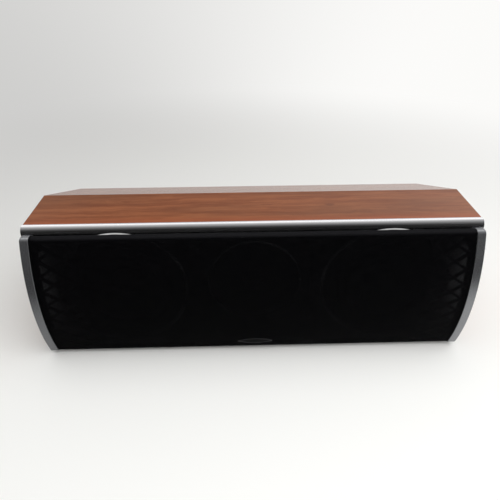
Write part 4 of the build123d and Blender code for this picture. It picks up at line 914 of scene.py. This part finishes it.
def scatter_tree(material):
    """Puts one screw on every point, turned as its point says."""
    tree = bpy.data.node_groups.new("screws_on_points", "GeometryNodeTree")
    tree.interface.new_socket("Geometry", in_out="INPUT", socket_type="NodeSocketGeometry")
    screw_input = tree.interface.new_socket("Screw", in_out="INPUT", socket_type="NodeSocketObject")
    tree.interface.new_socket("Geometry", in_out="OUTPUT", socket_type="NodeSocketGeometry")
    given = tree.nodes.new("NodeGroupInput").outputs
    result = tree.nodes.new("NodeGroupOutput").inputs
    points = add_node(tree, "GeometryNodeMeshToPoints", {"Mesh": given["Geometry"]}).outputs[0]
    screw = add_node(tree, "GeometryNodeObjectInfo", {"Object": given["Screw"]}).outputs["Geometry"]
    turn = add_node(tree, "GeometryNodeInputNamedAttribute", {"Name": "turn"}, data_type="FLOAT_VECTOR")
    rotation = add_node(tree, "FunctionNodeEulerToRotation", {0: turn.outputs[0]}).outputs[0]
    settings = {"Points": points, "Instance": screw, "Rotation": rotation}
    placed = add_node(tree, "GeometryNodeInstanceOnPoints", settings).outputs[0]
    whole = add_node(tree, "GeometryNodeRealizeInstances", {"Geometry": placed}).outputs[0]
    finish = {"Geometry": whole, "Material": material}
    tree.links.new(add_node(tree, "GeometryNodeSetMaterial", finish).outputs[0], result[0])
    return tree, screw_input.identifier


screw_black = brushed("screw_black", SCREW_BLACK, SCREW_GREY, SCREW_ROUGHNESS, SCREW_STRETCH)
front_places = []
for name in ("left_woofer_basket", "right_woofer_basket"):
    front_places += ring_of_screws(name, WOOFER_SCREW_EDGE)
front_places += ring_of_screws("tweeter_faceplate", TWEETER_SCREW_EDGE)
cup_low, cup_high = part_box("terminal_cup")
rear_places = []
for x in (cup_low[0] + CUP_SCREW_EDGE, cup_high[0] - CUP_SCREW_EDGE):
    for z in (cup_low[2] + CUP_SCREW_EDGE, cup_high[2] - CUP_SCREW_EDGE):
        rear_places.append((x, cup_high[1], z))

one_screw = new_piece("one_screw", screw_mesh(), screw_black)
points = bpy.data.meshes.new("screw_points")
points.from_pydata(front_places + rear_places, [], [])
turn = points.attributes.new("turn", "FLOAT_VECTOR", "POINT")
turns = [math.pi / 2] * len(front_places) + [-math.pi / 2] * len(rear_places)
for item, angle in zip(turn.data, turns):
    item.vector = (angle, 0.0, 0.0)
carrier = bpy.data.objects.new("screw_carrier", points)
bpy.context.scene.collection.objects.link(carrier)
scatter, screw_socket = scatter_tree(screw_black)
modifier = carrier.modifiers.new("screws", "NODES")
modifier.node_group = scatter
modifier[screw_socket] = one_screw
graph = bpy.context.evaluated_depsgraph_get()
screws_mesh = bpy.data.meshes.new_from_object(carrier.evaluated_get(graph), depsgraph=graph)
bpy.data.objects.remove(carrier)
bpy.data.objects.remove(one_screw)
screws = bpy.data.objects.new("cross_head_screws", screws_mesh)
bpy.context.scene.collection.objects.link(screws)
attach(screws, "cabinet")
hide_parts("mounting_screws")


# Grille frame and pegs. A bowed sheet moulded in black plastic with a diamond lattice at both ends,
# carried by six pegs that press into the rubber sockets.
GRILLE_BLACK = (7, 7, 8)
GRILLE_GREY = (11, 11, 12)

grille_colours = (GRILLE_BLACK, GRILLE_GREY)
grille_black = moulded("grille_black", *grille_colours, roughness=0.6, grain=1200.0, depth=0.00005)
dress(grille_black, "grille_frame", "grille_pegs")


# End bars. Bowed plastic mouldings sprayed in a metallic silver-grey, clipped over both ends of the
# grille frame, with rounded noses.
BAR_DARK = (120, 121, 124)
BAR_LIGHT = (140, 141, 144)
BAR_METAL = 0.82
BAR_ROUGHNESS = (0.22, 0.28)
FLAKE_SCALE = 3800.0
FLAKE_DEPTH = 0.000004
SPRAY_SCALE = 40.0

bar_silver, tree, shader = start_material("bar_silver", metallic=BAR_METAL)
spot = place_on_piece(tree)
flakes = noise(tree, spot, FLAKE_SCALE, detail=1.0)
lay_colours(tree, shader, between(tree, flakes, *WIDE_SPAN), BAR_DARK, BAR_LIGHT)
roughen(tree, shader, noise(tree, spot, SPRAY_SCALE), WIDE_SPAN, BAR_ROUGHNESS)
raise_grain(tree, shader, flakes, FLAKE_DEPTH)
dress(bar_silver, "left_end_bar", "right_end_bar")


# Grille cloth. Black polyester knit stretched over the bowed sheet, glued round its long edges and
# tucked in at the end bars. Fine gaps between its threads let what lies behind show faintly, and it is
# painted lighter grey where it faces up, as painted light from above.
CLOTH_THICKNESS = 0.0008
CLOTH_BOW_RADIUS = 0.2068
CLOTH_NOSE_ROUND = 0.005
CLOTH_HEEL_ROUND = 0.002
CLOTH_END_ANGLE = 120.0
CLOTH_COLUMNS = 96
HEEL_STEPS = 3
NOSE_STEPS = 9
BOW_STEPS = 36
KNIT_PITCH = 0.0009
KNIT_DEPTH = 0.0001
KNIT_CLOSED = 0.995
KNIT_OPEN = 0.81
CLOTH_BLACK = (2, 2, 3)
CLOTH_GREY = (7, 7, 8)
YARN_STRETCH = (60.0, 900.0, 1.0)
UPWARD_PAINTED_LIGHT_GREY = (26, 26, 28)
UPWARD_PAINTED_LIGHT_SPAN = (0.3, 0.95)
CLOTH_SPECULAR = 0.03
CLOTH_SHEEN = 0.003


def cloth_path(rise, back):
    """Points and outward normals from lower edge to upper, forward and up from the bow's axis."""
    inner = CLOTH_BOW_RADIUS - CLOTH_NOSE_ROUND
    nose_angle = math.asin((rise - CLOTH_NOSE_ROUND) / inner)
    heel = (back + CLOTH_HEEL_ROUND, rise - CLOTH_HEEL_ROUND)
    nose = (inner * math.cos(nose_angle), rise - CLOTH_NOSE_ROUND)
    arcs = (
        ((0.0, 0.0), CLOTH_BOW_RADIUS, 0.0, nose_angle, BOW_STEPS),
        (nose, CLOTH_NOSE_ROUND, nose_angle, math.pi / 2, NOSE_STEPS),
        (heel, CLOTH_HEEL_ROUND, math.pi / 2, math.radians(CLOTH_END_ANGLE), HEEL_STEPS),
    )
    upper = []
    for center, radius, start, end, steps in arcs:
        for step in range(steps + 1):
            angle = start + (end - start) * step / steps
            normal = Vector((math.cos(angle), math.sin(angle)))
            point = Vector(center) + normal * radius
            if not upper or (point - upper[-1][0]).length > CLOTH_THICKNESS / 10:
                upper.append((point, normal))
    flip = Vector((1, -1))
    lower = [(point * flip, normal * flip) for point, normal in upper[:0:-1]]
    return lower + upper


def stretch_cloth(path, low, high, axis):
    """Closed thin sheet along the path, with a UV map in metres across and along it."""
    shape = bmesh.new()
    layer = shape.loops.layers.uv.new("UVMap")
    lengths = [0.0]
    for (first, _), (second, _) in zip(path, path[1:]):
        lengths.append(lengths[-1] + (second - first).length)
    sides = []
    for inset in (0.0, CLOTH_THICKNESS):
        rows = []
        for point, normal in path:
            at = point - normal * inset
            row = []
            for column in range(CLOTH_COLUMNS + 1):
                x = low[0] + (high[0] - low[0]) * column / CLOTH_COLUMNS
                row.append(shape.verts.new((x, axis[0] - at.x, axis[1] + at.y)))
            rows.append(row)
        sides.append(rows)
    outer, inner = sides
    last = len(path) - 1
    for row in range(last):
        for column in range(CLOTH_COLUMNS):
            for rows, order in ((outer, 1), (inner, -1)):
                corners = ((row, column), (row, column + 1), (row + 1, column + 1), (row + 1, column))
                face = shape.faces.new([rows[r][c] for r, c in corners[::order]])
                face.smooth = True
        for column in (0, CLOTH_COLUMNS):
            pairs = ((outer, row), (outer, row + 1), (inner, row + 1), (inner, row))
            shape.faces.new([rows[r][column] for rows, r in pairs])
    for row in (0, last):
        for column in range(CLOTH_COLUMNS):
            pairs = ((outer, column), (outer, column + 1), (inner, column + 1), (inner, column))
            shape.faces.new([rows[row][c] for rows, c in pairs])
    bmesh.ops.recalc_face_normals(shape, faces=shape.faces)
    shape.verts.index_update()
    width = CLOTH_COLUMNS + 1
    for face in shape.faces:
        for loop in face.loops:
            row = loop.vert.index // width % len(path)
            loop[layer].uv = (loop.vert.co.x, lengths[row])
    return shape, lengths[-1]


cloth_black, tree, shader = start_material("cloth_black", roughness=0.9)
weft = add_node(tree, "ShaderNodeTexCoord").outputs["UV"]
settings = {"Vector": weft, "Pitch": KNIT_PITCH}
knit = add_node(tree, "ShaderNodeGroup", settings, node_tree=WOVEN).outputs
uneven = noise(tree, stretched(tree, weft, YARN_STRETCH))
lay_colours(tree, shader, between(tree, uneven, *WIDE_SPAN), CLOTH_BLACK, CLOTH_GREY)
# Painted light: the cloth is lighter grey where it faces up.
lay_over(tree, shader, between(tree, facing(tree)["Z"], *UPWARD_PAINTED_LIGHT_SPAN), UPWARD_PAINTED_LIGHT_GREY)
cover = mix_values(tree, knit["Gap"], KNIT_CLOSED, KNIT_OPEN)
inside = add_node(tree, "ShaderNodeNewGeometry").outputs["Backfacing"]
tree.links.new(mix_values(tree, inside, cover, 0.0), shader.inputs["Alpha"])
shader.inputs["Specular IOR Level"].default_value = CLOTH_SPECULAR
shader.inputs["Sheen Weight"].default_value = CLOTH_SHEEN
raise_grain(tree, shader, knit["Height"], KNIT_DEPTH)

low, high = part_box("grille_cloth")
rise = (high[2] - low[2]) / 2
cloth_axis = (low[1] + CLOTH_BOW_RADIUS, (low[2] + high[2]) / 2)
path = cloth_path(rise, cloth_axis[0] - high[1])
shape, cloth_length = stretch_cloth(path, low, high, cloth_axis)
cloth = new_piece("stretched_cloth", shape, cloth_black)
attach(cloth, "grille")
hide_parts("grille_cloth")


# Badge. A bare lens-shaped plate of aluminium, lacquered black inside a thin bare rim and glued on
# the lower edge of the cloth.
BADGE_DARK = (8, 8, 9)
BADGE_RIM = (96, 96, 99)
BADGE_SPECULAR = 0.02
BADGE_STRETCH = (40.0, 2600.0, 2600.0)
BADGE_ROUGHNESS = (0.30, 0.42)
RIM_WIDTH = 0.08
RIM_FADE = 0.03
RIM_METAL = 0.9

badge_dark, tree, shader = start_material("badge_dark")
shader.inputs["Specular IOR Level"].default_value = BADGE_SPECULAR
low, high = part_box("badge_plate")
center = middle("badge_plate")
half = ((high[0] - low[0]) / 2, (high[2] - low[2]) / 2)
spot = place_on_piece(tree)
scale = (1 / half[0], 1.0, 1 / half[1])
axes = split(tree, stretched(tree, spot, scale, (-center.x / half[0], 0.0, -center.z / half[1])))
bulge = calculate(tree, "MULTIPLY", axes["X"], axes["X"])
spent = calculate(tree, "ADD", bulge, calculate(tree, "ABSOLUTE", axes["Z"]))
on_rim = between(tree, spent, 1 - RIM_WIDTH - RIM_FADE, 1 - RIM_WIDTH + RIM_FADE)
lay_colours(tree, shader, on_rim, BADGE_DARK, BADGE_RIM)
tree.links.new(calculate(tree, "MULTIPLY", on_rim, RIM_METAL), shader.inputs["Metallic"])
roughen(tree, shader, noise(tree, stretched(tree, spot, BADGE_STRETCH)), WIDE_SPAN, BADGE_ROUGHNESS)
dress(badge_dark, "badge_plate")
